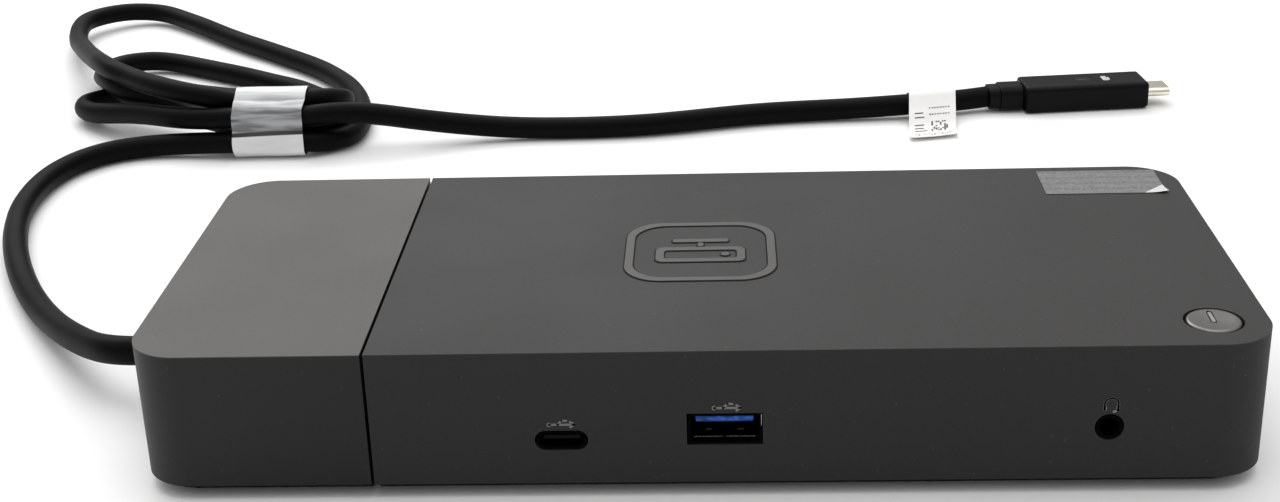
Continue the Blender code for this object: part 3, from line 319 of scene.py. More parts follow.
WHITE = (0.80, 0.79, 0.77)
LOOKS = {
    # On both covers lid is painted sheen: their top faces are lighter than their walls because of how light
    # falls, most on the module.
    "main_top": plastic(
        "main_top_plastic", (0.0205, 0.0201, 0.0195), 0.62, grain=0.32, depth=0.024, patch=40.0,
        uneven=0.05, dust=0.04, specular=0.20, lid=2.0),
    "module_top": plastic(
        "module_top_plastic", (0.0098, 0.0095, 0.0090), 0.56, grain=0.32, depth=0.024, patch=30.0,
        uneven=0.05, dust=0.04, specular=0.28, lid=8.5),
    "base": plastic(
        "base_plastic_look", (0.0030, 0.0030, 0.0032), 0.6, grain=0.5, depth=0.03, specular=0.15),
    "foot": foot_material(),
    "button": brushed("button_satin", (0.19, 0.187, 0.18), 0.34, (3.2, 0.4, 1.0), 0.85, 0.008),
    "light": plastic("light_pipe", (0.27, 0.27, 0.27), 0.26, grain=0.2, depth=0.004, speckle=0.04),
    "port_black": plastic(
        "port_black", (0.0016, 0.0016, 0.0018), 0.52, grain=0.25, depth=0.01, speckle=0.05, specular=0.10),
    "steel": brushed("port_steel_look", (0.40, 0.40, 0.41), 0.30, (0.5, 4.0, 4.0), 1.0, 0.006),
    # Near black with little gloss: painted shade for the dark inside of the front openings, on steel port
    # shells and the audio jack.
    "painted_shade": plastic(
        "port_painted_shade", (0.0006, 0.0006, 0.0007), 0.6, grain=0.25, depth=0.01, speckle=0.05, specular=0.03),
    "screw": brushed("screw_zinc", (0.20, 0.20, 0.205), 0.36, (3.0, 3.0, 0.6), 1.0, 0.006),
    "gold": brushed("contact_gold", (0.72, 0.50, 0.20), 0.25, (3.0, 1.0, 3.0), 1.0, 0.004),
    "plug_steel": brushed("plug_nickel", (0.82, 0.78, 0.66), 0.20, (0.4, 3.0, 3.0), 1.0, 0.005),
    "blue": plastic(
        "usb_blue_look", (0.016, 0.085, 0.46), 0.36, grain=0.4, depth=0.008, speckle=0.05, coat=0.2),
    "blade": blade_material(),
    "aluminium": brushed("sink_aluminium", (0.58, 0.58, 0.59), 0.32, (0.5, 3.0, 3.0), 1.0, 0.01),
    "pad": plastic("thermal_pad_look", (0.32, 0.38, 0.47), 0.8, grain=0.6, depth=0.03),
    "fan": plastic("fan_look", (0.020, 0.020, 0.022), 0.42, grain=0.5, depth=0.012),
    "board": circuit_board(),
    "cord": plastic(
        "cord_rubber", (0.0012, 0.0012, 0.0014), 0.50, grain=0.30, depth=0.016, speckle=0.10, patch=18.0,
        uneven=0.15, dust=0.008, specular=0.07),
    "plug": plastic(
        "plug_rubber", (0.0016, 0.0016, 0.0017), 0.44, grain=0.22, depth=0.010, speckle=0.10, patch=12.0,
        dust=0.008, specular=0.10),
    "film": film_material(),
    "film_label": film_label_material(),
    "paper": plastic(
        "label_paper", WHITE, 0.62, grain=0.15, depth=0.012, speckle=0.02, patch=6.0, uneven=0.02),
    "print": plastic("label_print", (0.035, 0.035, 0.04), 0.55, grain=0.2, depth=0.004, speckle=0.1),
    "icon": plastic(
        "icon_paint", (0.14, 0.139, 0.135), 0.55, grain=0.2, depth=0.008, speckle=0.12, uneven=0.12),
    "ring_grey": plastic("plug_ring_grey", (0.09, 0.09, 0.09), 0.5, grain=0.2, depth=0.006, speckle=0.1),
    # The springs' steel is darkened to near black: painted shade inside the front USB-A port.
    "spring": brushed("spring_steel", (0.05, 0.05, 0.052), 0.34, (0.5, 4.0, 4.0), 0.8, 0.006),
    "lip": brushed("lip_steel", (0.62, 0.62, 0.63), 0.24, (0.5, 4.0, 4.0), 1.0, 0.006),
    # The badge's lighter tone is a painted highlight, and its near black edge is painted shade, for light and
    # shade on a raised mark.
    "badge_line": plastic(
        "badge_line", (0.072, 0.071, 0.067), 0.5, grain=0.22, depth=0.010, speckle=0.10, specular=0.25),
    "badge_edge": plastic(
        "badge_edge", (0.0045, 0.0045, 0.0044), 0.6, grain=0.22, depth=0.006, specular=0.10),
    "mark": plastic("white_mark", (0.62, 0.63, 0.64), 0.4, grain=0.2, depth=0.004, speckle=0.02),
}


# Meshes, from sizes in millimetres


def mesh_of(bm):
    mesh = bpy.data.meshes.new("shape")
    bm.to_mesh(mesh)
    bm.free()
    return mesh


def finished(bm, place=Matrix()):
    """The mesh with its faces turned outward, moved to its place."""
    bmesh.ops.recalc_face_normals(bm, faces=bm.faces)
    bmesh.ops.transform(bm, matrix=place, verts=bm.verts)
    return mesh_of(bm)


def placed(name, data):
    obj = bpy.data.objects.new(name, data)
    scene.collection.objects.link(obj)
    return obj


def box(x, y, z):
    bm = bmesh.new()
    bmesh.ops.create_cube(bm, size=1.0)
    bmesh.ops.scale(bm, vec=[(b - a) * MM for a, b in (x, y, z)], verts=bm.verts)
    bmesh.ops.translate(bm, vec=[(a + b) / 2 * MM for a, b in (x, y, z)], verts=bm.verts)
    return mesh_of(bm)


def cylinder(centre, radius, span, axis="Z", segments=48):
    bm = bmesh.new()
    bmesh.ops.create_cone(
        bm, cap_ends=True, segments=segments, radius1=radius * MM, radius2=radius * MM,
        depth=(span[1] - span[0]) * MM,
    )
    quarter = math.pi / 2
    turn = {"Z": Matrix(), "X": Matrix.Rotation(quarter, 4, "Y"), "Y": Matrix.Rotation(quarter, 4, "X")}
    place = list(centre)
    place["XYZ".index(axis)] = (span[0] + span[1]) / 2
    bmesh.ops.transform(bm, matrix=Matrix.Translation(Vector(place) * MM) @ turn[axis], verts=bm.verts)
    return mesh_of(bm)


def arc(cx, cy, radius, first, last, steps):
    angles = [math.radians(first + (last - first) * k / steps) for k in range(steps + 1)]
    return [(cx + radius * math.cos(a), cy + radius * math.sin(a)) for a in angles]


def circle(cx, cy, radius, steps=64):
    return arc(cx, cy, radius, 0, 360, steps)[:-1]


def rectangle(x, y, left_radius=0.0, right_radius=0.0, steps=24):
    outline = []
    corners = (
        (x[1], y[1], right_radius, 0), (x[0], y[1], left_radius, 90),
        (x[0], y[0], left_radius, 180), (x[1], y[0], right_radius, 270),
    )
    for cx, cy, radius, first in corners:
        if not radius:
            outline.append((cx, cy))
            continue
        inward = radius if cx == x[0] else -radius
        upward = radius if cy == y[0] else -radius
        outline += arc(cx + inward, cy + upward, radius, first, first + 90, steps)
    return outline


def pill(width, height, steps=16):
    reach = (width - height) / 2
    return arc(reach, 0, height / 2, -90, 90, steps) + arc(-reach, 0, height / 2, 90, 270, steps)


def plate(outlines, span, place=Matrix()):
    """A flat outline, with any further outlines as holes, as thick as the span in z; place then moves it."""
    curve = bpy.data.curves.new("outline", "CURVE")
    curve.dimensions = "2D"
    curve.fill_mode = "BOTH"
    curve.extrude = (span[1] - span[0]) / 2 * MM
    for outline in outlines:
        spline = curve.splines.new("POLY")
        spline.points.add(len(outline) - 1)
        for point, (x, y) in zip(spline.points, outline):
            point.co = (x * MM, y * MM, 0, 1)
        spline.use_cyclic_u = True
    obj = placed("outline", curve)
    graph = bpy.context.evaluated_depsgraph_get()
    mesh = bpy.data.meshes.new_from_object(obj.evaluated_get(graph))
    bpy.data.objects.remove(obj)
    bpy.data.curves.remove(curve)
    bm = bmesh.new()
    bm.from_mesh(mesh)
    bpy.data.meshes.remove(mesh)
    bmesh.ops.remove_doubles(bm, verts=bm.verts, dist=1e-7)
    middle = Matrix.Translation((0, 0, (span[0] + span[1]) / 2 * MM))
    bmesh.ops.transform(bm, matrix=place @ middle, verts=bm.verts)
    bmesh.ops.recalc_face_normals(bm, faces=bm.faces)
    return mesh_of(bm)


def in_wall(x, z, y):
    return Matrix.Translation((x * MM, y * MM, z * MM)) @ Matrix.Rotation(math.pi / 2, 4, "X")


def turned(profile, steps=64, place=Matrix()):
    """A surface of revolution about Z from (radius, height) pairs."""
    bm = bmesh.new()
    rings = []
    for r, z in profile:
        if r < 1e-6:
            rings.append([bm.verts.new((0, 0, z * MM))])
        else:
            rings.append([bm.verts.new((x * MM, y * MM, z * MM)) for x, y in circle(0, 0, r, steps)])
    for a, b in zip(rings, rings[1:]):
        for k in range(steps):
            m = (k + 1) % steps
            corners = [a[k % len(a)], a[m % len(a)], b[m % len(b)], b[k % len(b)]]
            kept = [v for i, v in enumerate(corners) if v not in corners[:i]]
            if len(kept) > 2:
                bm.faces.new(kept)
    return finished(bm, place)


def rounded(points, radius, steps=5):
    """An open chain of 2D points with its inner corners rounded."""
    out = [points[0]]
    for a, b, c in zip(points, points[1:], points[2:]):
        a, b, c = (np.array(p, float) for p in (a, b, c))
        u, v = a - b, c - b
        reach = min(radius, np.linalg.norm(u) * 0.45, np.linalg.norm(v) * 0.45)
        p, q = b + u / np.linalg.norm(u) * reach, b + v / np.linalg.norm(v) * reach
        for k in range(steps + 1):
            t = k / steps
            out.append(tuple((1 - t) ** 2 * p + 2 * t * (1 - t) * b + t * t * q))
    return out + [points[-1]]


def merged(meshes):
    bm = bmesh.new()
    for mesh in meshes:
        bm.from_mesh(mesh)
    return mesh_of(bm)


def solved(mesh, *steps):
    """The mesh after its steps, in order: ("bevel", width, segments), or ("cut" or "join", mesh, ...)."""
    obj = placed("solve", mesh)
    helpers = []
    for kind, *values in steps:
        if kind == "bevel":
            modifier = obj.modifiers.new("Bevel", "BEVEL")
            modifier.width, modifier.segments = values[0] * MM, values[1]
            modifier.limit_method = "ANGLE"
            modifier.angle_limit = math.radians(values[2] if len(values) > 2 else 40)
            continue
        for other in values:
            helper = placed("helper", other)
            helpers.append(helper)
            modifier = obj.modifiers.new("Boolean", "BOOLEAN")
            modifier.operation = "DIFFERENCE" if kind == "cut" else "UNION"
            modifier.solver = "EXACT"
            modifier.object = helper
    bpy.context.view_layer.update()
    graph = bpy.context.evaluated_depsgraph_get()
    made = bpy.data.meshes.new_from_object(obj.evaluated_get(graph))
    for other in [obj, *helpers]:
        bpy.data.objects.remove(other)
    return made


def piece(name, mesh, look, stands_for=(), angle=32, weighted=True, body="housing"):
    mesh.name = name
    mesh.materials.clear()
    mesh.materials.append(LOOKS[look])
    mesh.shade_smooth()
    mesh.set_sharp_from_angle(angle=math.radians(angle))
    obj = placed(name, mesh)
    if weighted:
        modifier = obj.modifiers.new("Weighted normals", "WEIGHTED_NORMAL")
        modifier.keep_sharp = True
        modifier.weight = 80
    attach(obj, body)
    if stands_for:
        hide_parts(*stands_for)
    return obj


# Camera

camera_data = bpy.data.cameras.new("camera")
camera_data.lens = 52.12
camera_data.sensor_width = 36.0
camera_data.clip_start = 0.01
camera = placed("camera", camera_data)
camera.location = (0.005593, -0.338441, 0.170287)
camera.rotation_euler = (1.1767, 0.0312, 0.0363)
scene.camera = camera


# Cord


def cord_route():
    route = list(FROM_DOCK)
    route += [(x, *SLOT_IN) for x in TIE_HOLDS]
    for run, slot in TURNS:
        route += run
        route += [(x, *slot) for x in TIE_HOLDS]
    return route + list(TO_PLUG)


def smooth_curve(points, count):
    """Points on the natural cubic spline through the given ones, even in the square root of their spacing."""
    p = np.array(points, float)
    s = np.concatenate([[0], np.cumsum(np.linalg.norm(np.diff(p, axis=0), axis=1) ** 0.5)])
    h = np.diff(s)
    last = len(p) - 1
    matrix, right = np.eye(last + 1), np.zeros((last + 1, 3))
    for i in range(1, last):
        matrix[i, i - 1:i + 2] = h[i - 1], 2 * (h[i - 1] + h[i]), h[i]
        right[i] = 6 * ((p[i + 1] - p[i]) / h[i] - (p[i] - p[i - 1]) / h[i - 1])
    bend = np.linalg.solve(matrix, right)
    t = np.linspace(0, s[-1], count)
    i = np.clip(np.searchsorted(s, t, side="right") - 1, 0, last - 1)
    a = ((s[i + 1] - t) / h[i])[:, None]
    b = 1 - a
    step = (h[i] ** 2)[:, None] / 6
    return a * p[i] + b * p[i + 1] + ((a**3 - a) * bend[i] + (b**3 - b) * bend[i + 1]) * step


def spaced_by_bend(curve, count, extra):
    step = np.diff(curve, axis=0)
    length = np.linalg.norm(step, axis=1)
    way = step / length[:, None]
    weight = length.copy()
    weight[1:] += extra * np.linalg.norm(np.diff(way, axis=0), axis=1)
    along = np.concatenate([[0], np.cumsum(weight)])
    even = np.linspace(0, along[-1], count)
    return np.stack([np.interp(even, along, curve[:, k]) for k in range(3)], axis=1)


def make_cord():
    line = spaced_by_bend(smooth_curve(cord_route(), 6000), 620, 12.0)
    line[:, 2] = np.maximum(line[:, 2], CORD_DIAMETER / 2 + 0.05)
    curve = bpy.data.curves.new("cord", "CURVE")
    curve.dimensions = "3D"
    curve.bevel_depth = CORD_DIAMETER / 2 * MM
    curve.bevel_resolution = 7
    curve.use_fill_caps = True
    spline = curve.splines.new("POLY")
    spline.points.add(len(line) - 1)
    for point, place in zip(spline.points, line):
        point.co = (*(place * MM), 1)
    spline.use_smooth = True
    curve.materials.append(LOOKS["cord"])
    obj = placed("cord", curve)
    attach(obj, "housing")
    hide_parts("usb_c_cord")
    return obj


def make_gland():
    """The strain relief: a tapered nose with two soft ribs, a neck through the wall and an inner flange."""
    wall, tip = LENGTH / 2, -EXIT[0]
    outline = rounded([
        (3.08, tip + 0.5), (3.6, tip + 0.4), (4.1, tip - 2.2), (3.9, tip - 2.8), (4.5, tip - 4.2),
        (4.3, tip - 4.9), (4.95, wall + 1.9), (5.2, wall + 1.3), (5.2, wall + 0.15),
        (3.7, wall + 0.15), (3.7, wall - WALL - GAP), (5.3, wall - WALL - GAP), (5.3, wall - WALL - 1.8),
    ], 0.5, 4)
    profile = [(0, tip - GAP), (3.08, tip - GAP), *outline, (0, wall - WALL - 1.8)]
    place = Matrix.Translation((0, EXIT[1] * MM, EXIT[2] * MM)) @ Matrix.Rotation(-math.pi / 2, 4, "Y")
    return piece("gland", turned(profile, 64, place), "plug", ["cord_gland"], 50)


def hull_outline(circles):
    points = sorted(p for x, y, radius in circles for p in circle(x, y, radius, 56))
    half = []
    for run in (points, points[::-1]):
        chain = []
        for p in run:
            while len(chain) > 1:
                (ax, ay), (bx, by) = chain[-2], chain[-1]
                if (bx - ax) * (p[1] - ay) - (by - ay) * (p[0] - ax) > 1e-9:
                    break
                chain.pop()
            chain.append(p)
        half += chain[:-1]
    return half


def evenly(outline, count):
    p = np.array(outline + outline[:1], float)
    s = np.concatenate([[0], np.cumsum(np.linalg.norm(np.diff(p, axis=0), axis=1))])
    t = np.linspace(0, s[-1], count + 1)[:-1]
    return np.stack([np.interp(t, s, p[:, k]) for k in range(2)], axis=1)


def make_tie():
    """Film pulled round the four strands: it dips between them, and its ends are a little crumpled."""
    slots = (SLOT_IN, SLOT_OUT, SLOT_TOP, SLOT_MID)
    around = evenly(hull_outline([(*slot, CORD_DIAMETER / 2 + TIE_SLACK) for slot in slots]), 144)
    centres = np.array(slots)
    bm = bmesh.new()
    rows = 40
    rng = np.random.default_rng(7)
    phase = rng.uniform(0, 6.28, 8)
    middle = around.mean(axis=0)
    rings = []
    for layer in (0.0, 0.22):
        for k in range(rows + 1):
            share = k / rows
            x = TIE_STARTS + 0.2 + (TIE_ENDS - TIE_STARTS - 0.4) * share
            ring = []
            for j, (y, z) in enumerate(around):
                out = np.array((y, z)) - middle
                out /= np.linalg.norm(out)
                gap = np.min(np.linalg.norm(centres - (y, z), axis=1)) - CORD_DIAMETER / 2
                dip = min(max(gap - 0.9, 0) * 0.55, 0.9)
                a = 2 * math.pi * j / len(around)
                crease = 0.05 * math.sin(9 * a + phase[0] + 1.2 * share)
                crease += 0.03 * math.sin(17 * a + phase[1] - 2 * share)
                crease += 0.03 * math.sin(3 * share * math.pi + 5 * a + phase[2])
                push = -dip * (1 - 0.35 * math.cos(2 * math.pi * share)) + crease - 0.12 + layer
                p = np.array((y, z)) + out * push
                edge = 0.16 * math.sin(3 * a + phase[3]) + 0.10 * math.sin(8 * a + phase[4])
                shift = edge * (abs(share - 0.5) * 2) ** 8 * (0.5 if share > 0.5 else -0.5)
                along = min(max(x + shift, TIE_STARTS), TIE_ENDS)
                ring.append(bm.verts.new((along * MM, p[0] * MM, max(p[1], 0.25) * MM)))
            rings.append(ring)
    count = len(around)
    inner, outer = rings[:rows + 1], rings[rows + 1:]
    for layer in (inner, outer):
        for a, b in zip(layer, layer[1:]):
            for j in range(count):
                m = (j + 1) % count
                bm.faces.new((a[j], a[m], b[m], b[j]))
    for a, b in ((inner[0], outer[0]), (inner[-1], outer[-1])):
        for j in range(count):
            m = (j + 1) % count
            bm.faces.new((a[j], a[m], b[m], b[j]))
    return piece("tie", finished(bm), "film", ["cord_tie"], 60, False)


def label_place():
    return Matrix.Translation(Vector(LABEL_MIDDLE) * MM) @ Matrix.Rotation(LABEL_YAW, 4, "Z")


def label_path():
    """The label's section, as (y, z) from the cord's middle: round the cord, then down to the front."""
    radius = CORD_DIAMETER / 2 + LABEL_SLACK
    floor = -LABEL_MIDDLE[2] + 0.45
    round_part = arc(0, 0, radius, -165, 122, 60)
    top = round_part[-1]
    flag = [(top[0] - 2.6, top[1] - 1.75), (-7.6, -0.75), (-10.6, -2.4), (-14.0, floor + 0.05),
            (-17.5, floor + 0.1), (-20.8, floor + 0.6)]
    line = smooth_curve([(*p, 0) for p in [round_part[-3], top, *flag]], 60)[:, :2]
    return [tuple(p) for p in round_part[:-3]] + [tuple(p) for p in line]


def label_curl(y, across):
    """How far the flag curls up, at y from the cord's middle and across from -1 to 1."""
    return 0.25 * max(0.0, (-y - 12) / 9) * across**2


def label_lean(y):
    return LABEL_LEAN * min(y, 0)


def make_label():
    path = np.array(label_path())
    way = np.gradient(path, axis=0)
    way /= np.linalg.norm(way, axis=1)[:, None]
    side = np.stack([-way[:, 1], way[:, 0]], axis=1)
    bm = bmesh.new()
    half, thick = LABEL_WIDTH / 2 - 0.05, 0.07
    columns = 13
    layers = []
    for sign in (-1, 1):
        rows = []
        for p, s in zip(path, side):
            q = p + s * thick * sign
            row = []
            for c in range(columns):
                u = c / (columns - 1) * 2 - 1
                x, z = u * half + label_lean(q[0]), q[1] + label_curl(p[0], u)
                row.append(bm.verts.new((x * MM, q[0] * MM, z * MM)))
            rows.append(row)
        layers.append(rows)
    for rows in layers:
        for a, b in zip(rows, rows[1:]):
            for c in range(columns - 1):
                bm.faces.new((a[c], a[c + 1], b[c + 1], b[c]))
    low, high = layers
    for a, b in ((low[0], high[0]), (low[-1], high[-1])):
        for c in range(columns - 1):
            bm.faces.new((a[c], a[c + 1], b[c + 1], b[c]))
    for c in (0, columns - 1):
        for k in range(len(low) - 1):
            bm.faces.new((low[k][c], low[k + 1][c], high[k + 1][c], high[k][c]))
    return piece("label", finished(bm, label_place()), "paper", ["cord_label"], 50, False)


def make_label_print():
    """Plain bars and dashes on the label's flag, in place of its print."""
    path = np.array(label_path())
    run = np.concatenate([[0], np.cumsum(np.linalg.norm(np.diff(path, axis=0), axis=1))])
    end = run[-1]
    bm = bmesh.new()
    rng = np.random.default_rng(11)

    def patch(u0, u1, s0, s1):
        """A printed mark between two places across and two distances back from the flag's end."""
        steps = 4
        for k in range(steps):
            near, far = (s0 + (s1 - s0) * i / steps for i in (k, k + 1))
            corners = []
            for u, s in ((u0, near), (u1, near), (u1, far), (u0, far)):
                y, z = (np.interp(end - s, run, path[:, i]) for i in range(2))
                z += label_curl(y, u / (LABEL_WIDTH / 2)) + 0.13
                corners.append(bm.verts.new(((u + label_lean(y)) * MM, y * MM, z * MM)))
            bm.faces.new(corners)

    for row, s in enumerate((2.2, 3.4)):
        for u in np.arange(-5.0, 5.2, 0.75):
            if rng.random() > 0.25:
                patch(u, u + rng.uniform(0.25, 0.6), s, s + 0.45)
    for u in np.arange(-0.4, 4.2, 0.62):
        for s in np.arange(6.0, 10.6, 0.62):
            if rng.random() > 0.45:
                patch(u, u + 0.5, s, s + 0.5)
    for s in (6.2, 7.8, 9.4, 12.4, 14.0):
        patch(-5.2, -5.2 + rng.uniform(2.4, 3.6), s, s + 0.4)
    for s in (13.2, 15.6):
        for u in np.arange(-1.0, 5.0, 0.8):
            patch(u, u + rng.uniform(0.3, 0.55), s, s + 0.5)
    return piece("label_marks", finished(bm, label_place()), "print", (), 50, False)


def plug_place():
    place = Matrix.Translation((PLUG_START[0] * MM, PLUG_START[1] * MM, PLUG_Z * MM))
    return place @ Matrix.Rotation(PLUG_YAW, 4, "Z")


def lofted(sections, place):
    """A closed skin through rounded-rectangle sections along X: (x, width, height, radius)."""
    bm = bmesh.new()
    rings = []
    for x, width, height, radius in sections:
        radius = min(radius, width / 2 - 1e-3, height / 2 - 1e-3)
        outline = rectangle((-width / 2, width / 2), (-height / 2, height / 2), radius, radius, 12)
        rings.append([bm.verts.new((x * MM, y * MM, z * MM)) for y, z in evenly(outline, 160)])
    for a, b in zip(rings, rings[1:]):
        for k in range(len(a)):
            m = (k + 1) % len(a)
            bm.faces.new((a[k], a[m], b[m], b[k]))
    bm.faces.new(rings[0])
    bm.faces.new(rings[-1])
    return finished(bm, place)


def softened(x0, x1, width, height, radius, edge, steps=5):
    """Sections of a block whose ends are rounded over by edge."""
    found = []
    for k in range(steps + 1):
        a = math.pi / 2 * k / steps
        inset = edge * (1 - math.sin(a))
        x = x0 + edge * (1 - math.cos(a))
        found.append((x, width - 2 * inset, height - 2 * inset, max(radius - inset, 0.3)))
    return found + [(x0 + x1 - x, w, h, r) for x, w, h, r in found[::-1]]


def make_plug():
    place = plug_place()
    end = BOOT_LENGTH + BODY_LENGTH
    boot = [
        *softened(-0.5, 3.0, 8.2, 6.3, 2.6, 0.4)[:-1],
        *softened(2.6, BOOT_LENGTH - GAP, 9.2, 6.9, 2.5, 0.45),
    ]
    made = [piece("boot", lofted(boot, place), "plug", ["plug_boot"], 45)]
    body = lofted(softened(BOOT_LENGTH, end, 12.9, 7.6, 1.5, 0.8, 6), place)
    made.append(piece("plug_case", body, "plug", ["plug_body"], 50))
    stand = place @ Matrix.Rotation(math.pi / 2, 4, "Z") @ Matrix.Rotation(math.pi / 2, 4, "X")
    metal = plate([pill(8.34, 2.56, 24)], (end + 0.05, end + PLUG_REACH), stand)
    hollow = plate([pill(7.7, 1.9, 24)], (end + 1.2, end + PLUG_REACH + 1), stand)
    shell = solved(metal, ("bevel", 0.22, 3, 50), ("cut", hollow))
    made.append(piece("plug_metal", shell, "plug_steel", ["plug_shell"], 40))
    ends = []
    for side in (-1, 1):
        for k in range(12):
            u = (k - 5.5) * 0.5
            heights = sorted((side * 0.62, side * 0.9))
            contact = box((end + 1.3, end + PLUG_REACH - 0.5), (u - 0.13, u + 0.13), heights)
            contact.transform(place)
            ends.append(contact)
    made.append(piece("plug_contacts", merged(ends), "gold", ()))
    return made


def strokes(lines, width, place, thick=0.03):
    """Flat strokes with round ends along lines of (x, y), raised from the plane of place."""
    meshes = []
    for line in lines:
        p = np.array(line, float)
        for a, b in zip(p, p[1:]):
            d = b - a
            turn = Matrix.Rotation(math.atan2(d[1], d[0]), 4, "Z")
            middle = Matrix.Translation(((a[0] + b[0]) / 2 * MM, (a[1] + b[1]) / 2 * MM, 0))
            outline = pill(np.linalg.norm(d) + width, width, 6)
            meshes.append(plate([outline], (0, thick), place @ middle @ turn))
    return merged(meshes)


def make_plug_marks():
    """A lit window and a plain ring mark on top of the plug."""
    place = plug_place() @ Matrix.Translation((0, 0, 3.8 * MM))
    lines = [[(33.0, -1.5), (33.0, 1.6)], [(33.7, -1.6), (33.7, 1.7)], [(34.3, -1.1), (34.3, 0.6)]]
    window = strokes(lines, 0.8, place, 0.02)
    ring = strokes([circle(27.0, 0, 1.8, 24) + [(28.8, 0)], [(26.0, 0), (28.0, 0)]], 0.4, place, 0.02)
    return [
        piece("plug_window", window, "mark", (), 50, False),
        piece("plug_ring_mark", ring, "ring_grey", (), 50, False),
    ]


cord = make_cord()
gland = make_gland()
on_cord = [gland, make_tie(), make_label(), make_label_print(), *make_plug(), *make_plug_marks()]


# Housing


def wall_opening(port, y):
    x, z, width, height = port
    return box((x - width / 2, x + width / 2), y, (z - height / 2, z + height / 2))


def cover_mesh(x, left_radius, right_radius, cutters):
    outline = rectangle(x, (-DEPTH / 2, DEPTH / 2), left_radius, right_radius, 28)
    inside = rectangle(
        (x[0] + WALL, x[1] - WALL), (WALL - DEPTH / 2, DEPTH / 2 - WALL),
        max(left_radius - WALL, 0), max(right_radius - WALL, 0), 10,
    )
    hollow = plate([inside], (SHELL_BOTTOM - 1, HEIGHT - WALL))
    block = plate([outline], (SHELL_BOTTOM, HEIGHT))
    return solved(block, ("bevel", EDGE_ROUND, 5), ("cut", hollow, *cutters))


def posts(places):
    return [
        solved(
            cylinder((x, y, 0), POST_RADIUS, (POST_BOTTOM, HEIGHT - WALL + 0.5), segments=24),
            ("cut", cylinder((x, y, 0), POST_BORE_RADIUS, (0, 15), segments=24)),
        )
        for x, y in places
    ]


def main_cover():
    x = (SEAM_X + SEAM_GAP / 2, LENGTH / 2)
    front, rear = (-DEPTH / 2 - 1, -DEPTH / 2 + WALL + 1), (DEPTH / 2 - WALL - 1, DEPTH / 2 + 1)
    vents = []
    for k in range(VENTS):
        middle = (k - (VENTS - 1) / 2) * VENT_PITCH
        vents.append(box((LENGTH / 2 - WALL - 1, LENGTH / 2 + 1), (middle - 1, middle + 1), VENT_HEIGHTS))
    cutters = [
        cylinder((*BUTTON_CENTRE, 0), BUTTON_HOLE_RADIUS, (HEIGHT - WALL - 1, HEIGHT + 1), segments=96),
        plate([pill(*FRONT_USB_C[2:])], (-2.5, 2.5), in_wall(FRONT_USB_C[0], FRONT_USB_C[1], -DEPTH / 2)),
        wall_opening(FRONT_USB_A, front),
        cylinder((FRONT_JACK[0], 0, FRONT_JACK[1]), AUDIO_HOLE_RADIUS, front, "Y"),
        plate([pill(*REAR_USB_C[2:])], (-2.5, 2.5), in_wall(REAR_USB_C[0], REAR_USB_C[1], DEPTH / 2)),
        cylinder((REAR_LINE_OUT[0], 0, REAR_LINE_OUT[1]), AUDIO_HOLE_RADIUS, rear, "Y"),
        cylinder((REAR_DC_JACK[0], 0, REAR_DC_JACK[1]), DC_HOLE_RADIUS, rear, "Y"),
        *(wall_opening(port, rear) for port in (REAR_HDMI, REAR_USB_A, REAR_ETHERNET, *REAR_DISPLAYPORTS)),
        *vents,
        box((SEAM_X - 1, SEAM_X + WALL + 2), *DOCKING_OPENING),
    ]
    shell = cover_mesh(x, 0, CORNER_RADIUS, cutters)
    mesh = merged([shell, *posts(MAIN_SCREWS)])
    piece("main_cover", mesh, "main_top", ["main_top_cover"], 30)


def module_cover():
    x = (-LENGTH / 2, SEAM_X - SEAM_GAP / 2)
    cutters = [
        cylinder((0, EXIT[1], EXIT[2]), CORD_HOLE_RADIUS, (-LENGTH / 2 - 1, -LENGTH / 2 + WALL + 1), "X"),
        box((SEAM_X - WALL - 2, SEAM_X + 1), *DOCKING_OPENING),
    ]
    shell = cover_mesh(x, CORNER_RADIUS, 0, cutters)
    mesh = merged([shell, *posts(MODULE_SCREWS)])
    piece("module_cover", mesh, "module_top", ["module_top_cover"], 30)


main_cover()
module_cover()


# Button


def power_button():
    x, y = BUTTON_CENTRE
    place = Matrix.Translation((x * MM, y * MM, 0))
    top = HEIGHT + 0.15
    profile = [(0, top - 0.34), (1.2, top - 0.32), (2.4, top - 0.24), (3.5, top - 0.11), (4.3, top)]
    for a in np.linspace(0.1, math.pi / 2, 8):
        profile.append((4.35 + 0.55 * math.sin(a), top - 0.55 + 0.55 * math.cos(a)))
    profile += [(BUTTON_RADIUS, 27.8), (BUTTON_RADIUS, 26.6), (BUTTON_FLANGE_RADIUS, 26.6)]
    profile += [(BUTTON_FLANGE_RADIUS, 25.6), (1.6, 25.6), (1.6, 15.4), (0, 15.4)]
    upright = place @ Matrix.Translation((0, 1.6 * MM, 0)) @ Matrix.Rotation(math.pi / 2, 4, "Z")
    slot = plate([pill(4.7, 1.1, 12)], (26.0, HEIGHT + 1), upright)
    cap = solved(turned(profile, 96, place), ("cut", slot))
    piece("button_cap", cap, "button", ["power_button_cap"], 38, body="power_button")
    pipe = solved(
        plate([pill(4.2, 0.62, 12)], (26.3, HEIGHT - 0.02), upright),
        ("bevel", 0.12, 3, 50),
    )
    piece("button_light", pipe, "light", ["button_light_pipe"], 40, body="power_button")


power_button()


# Marks on the top


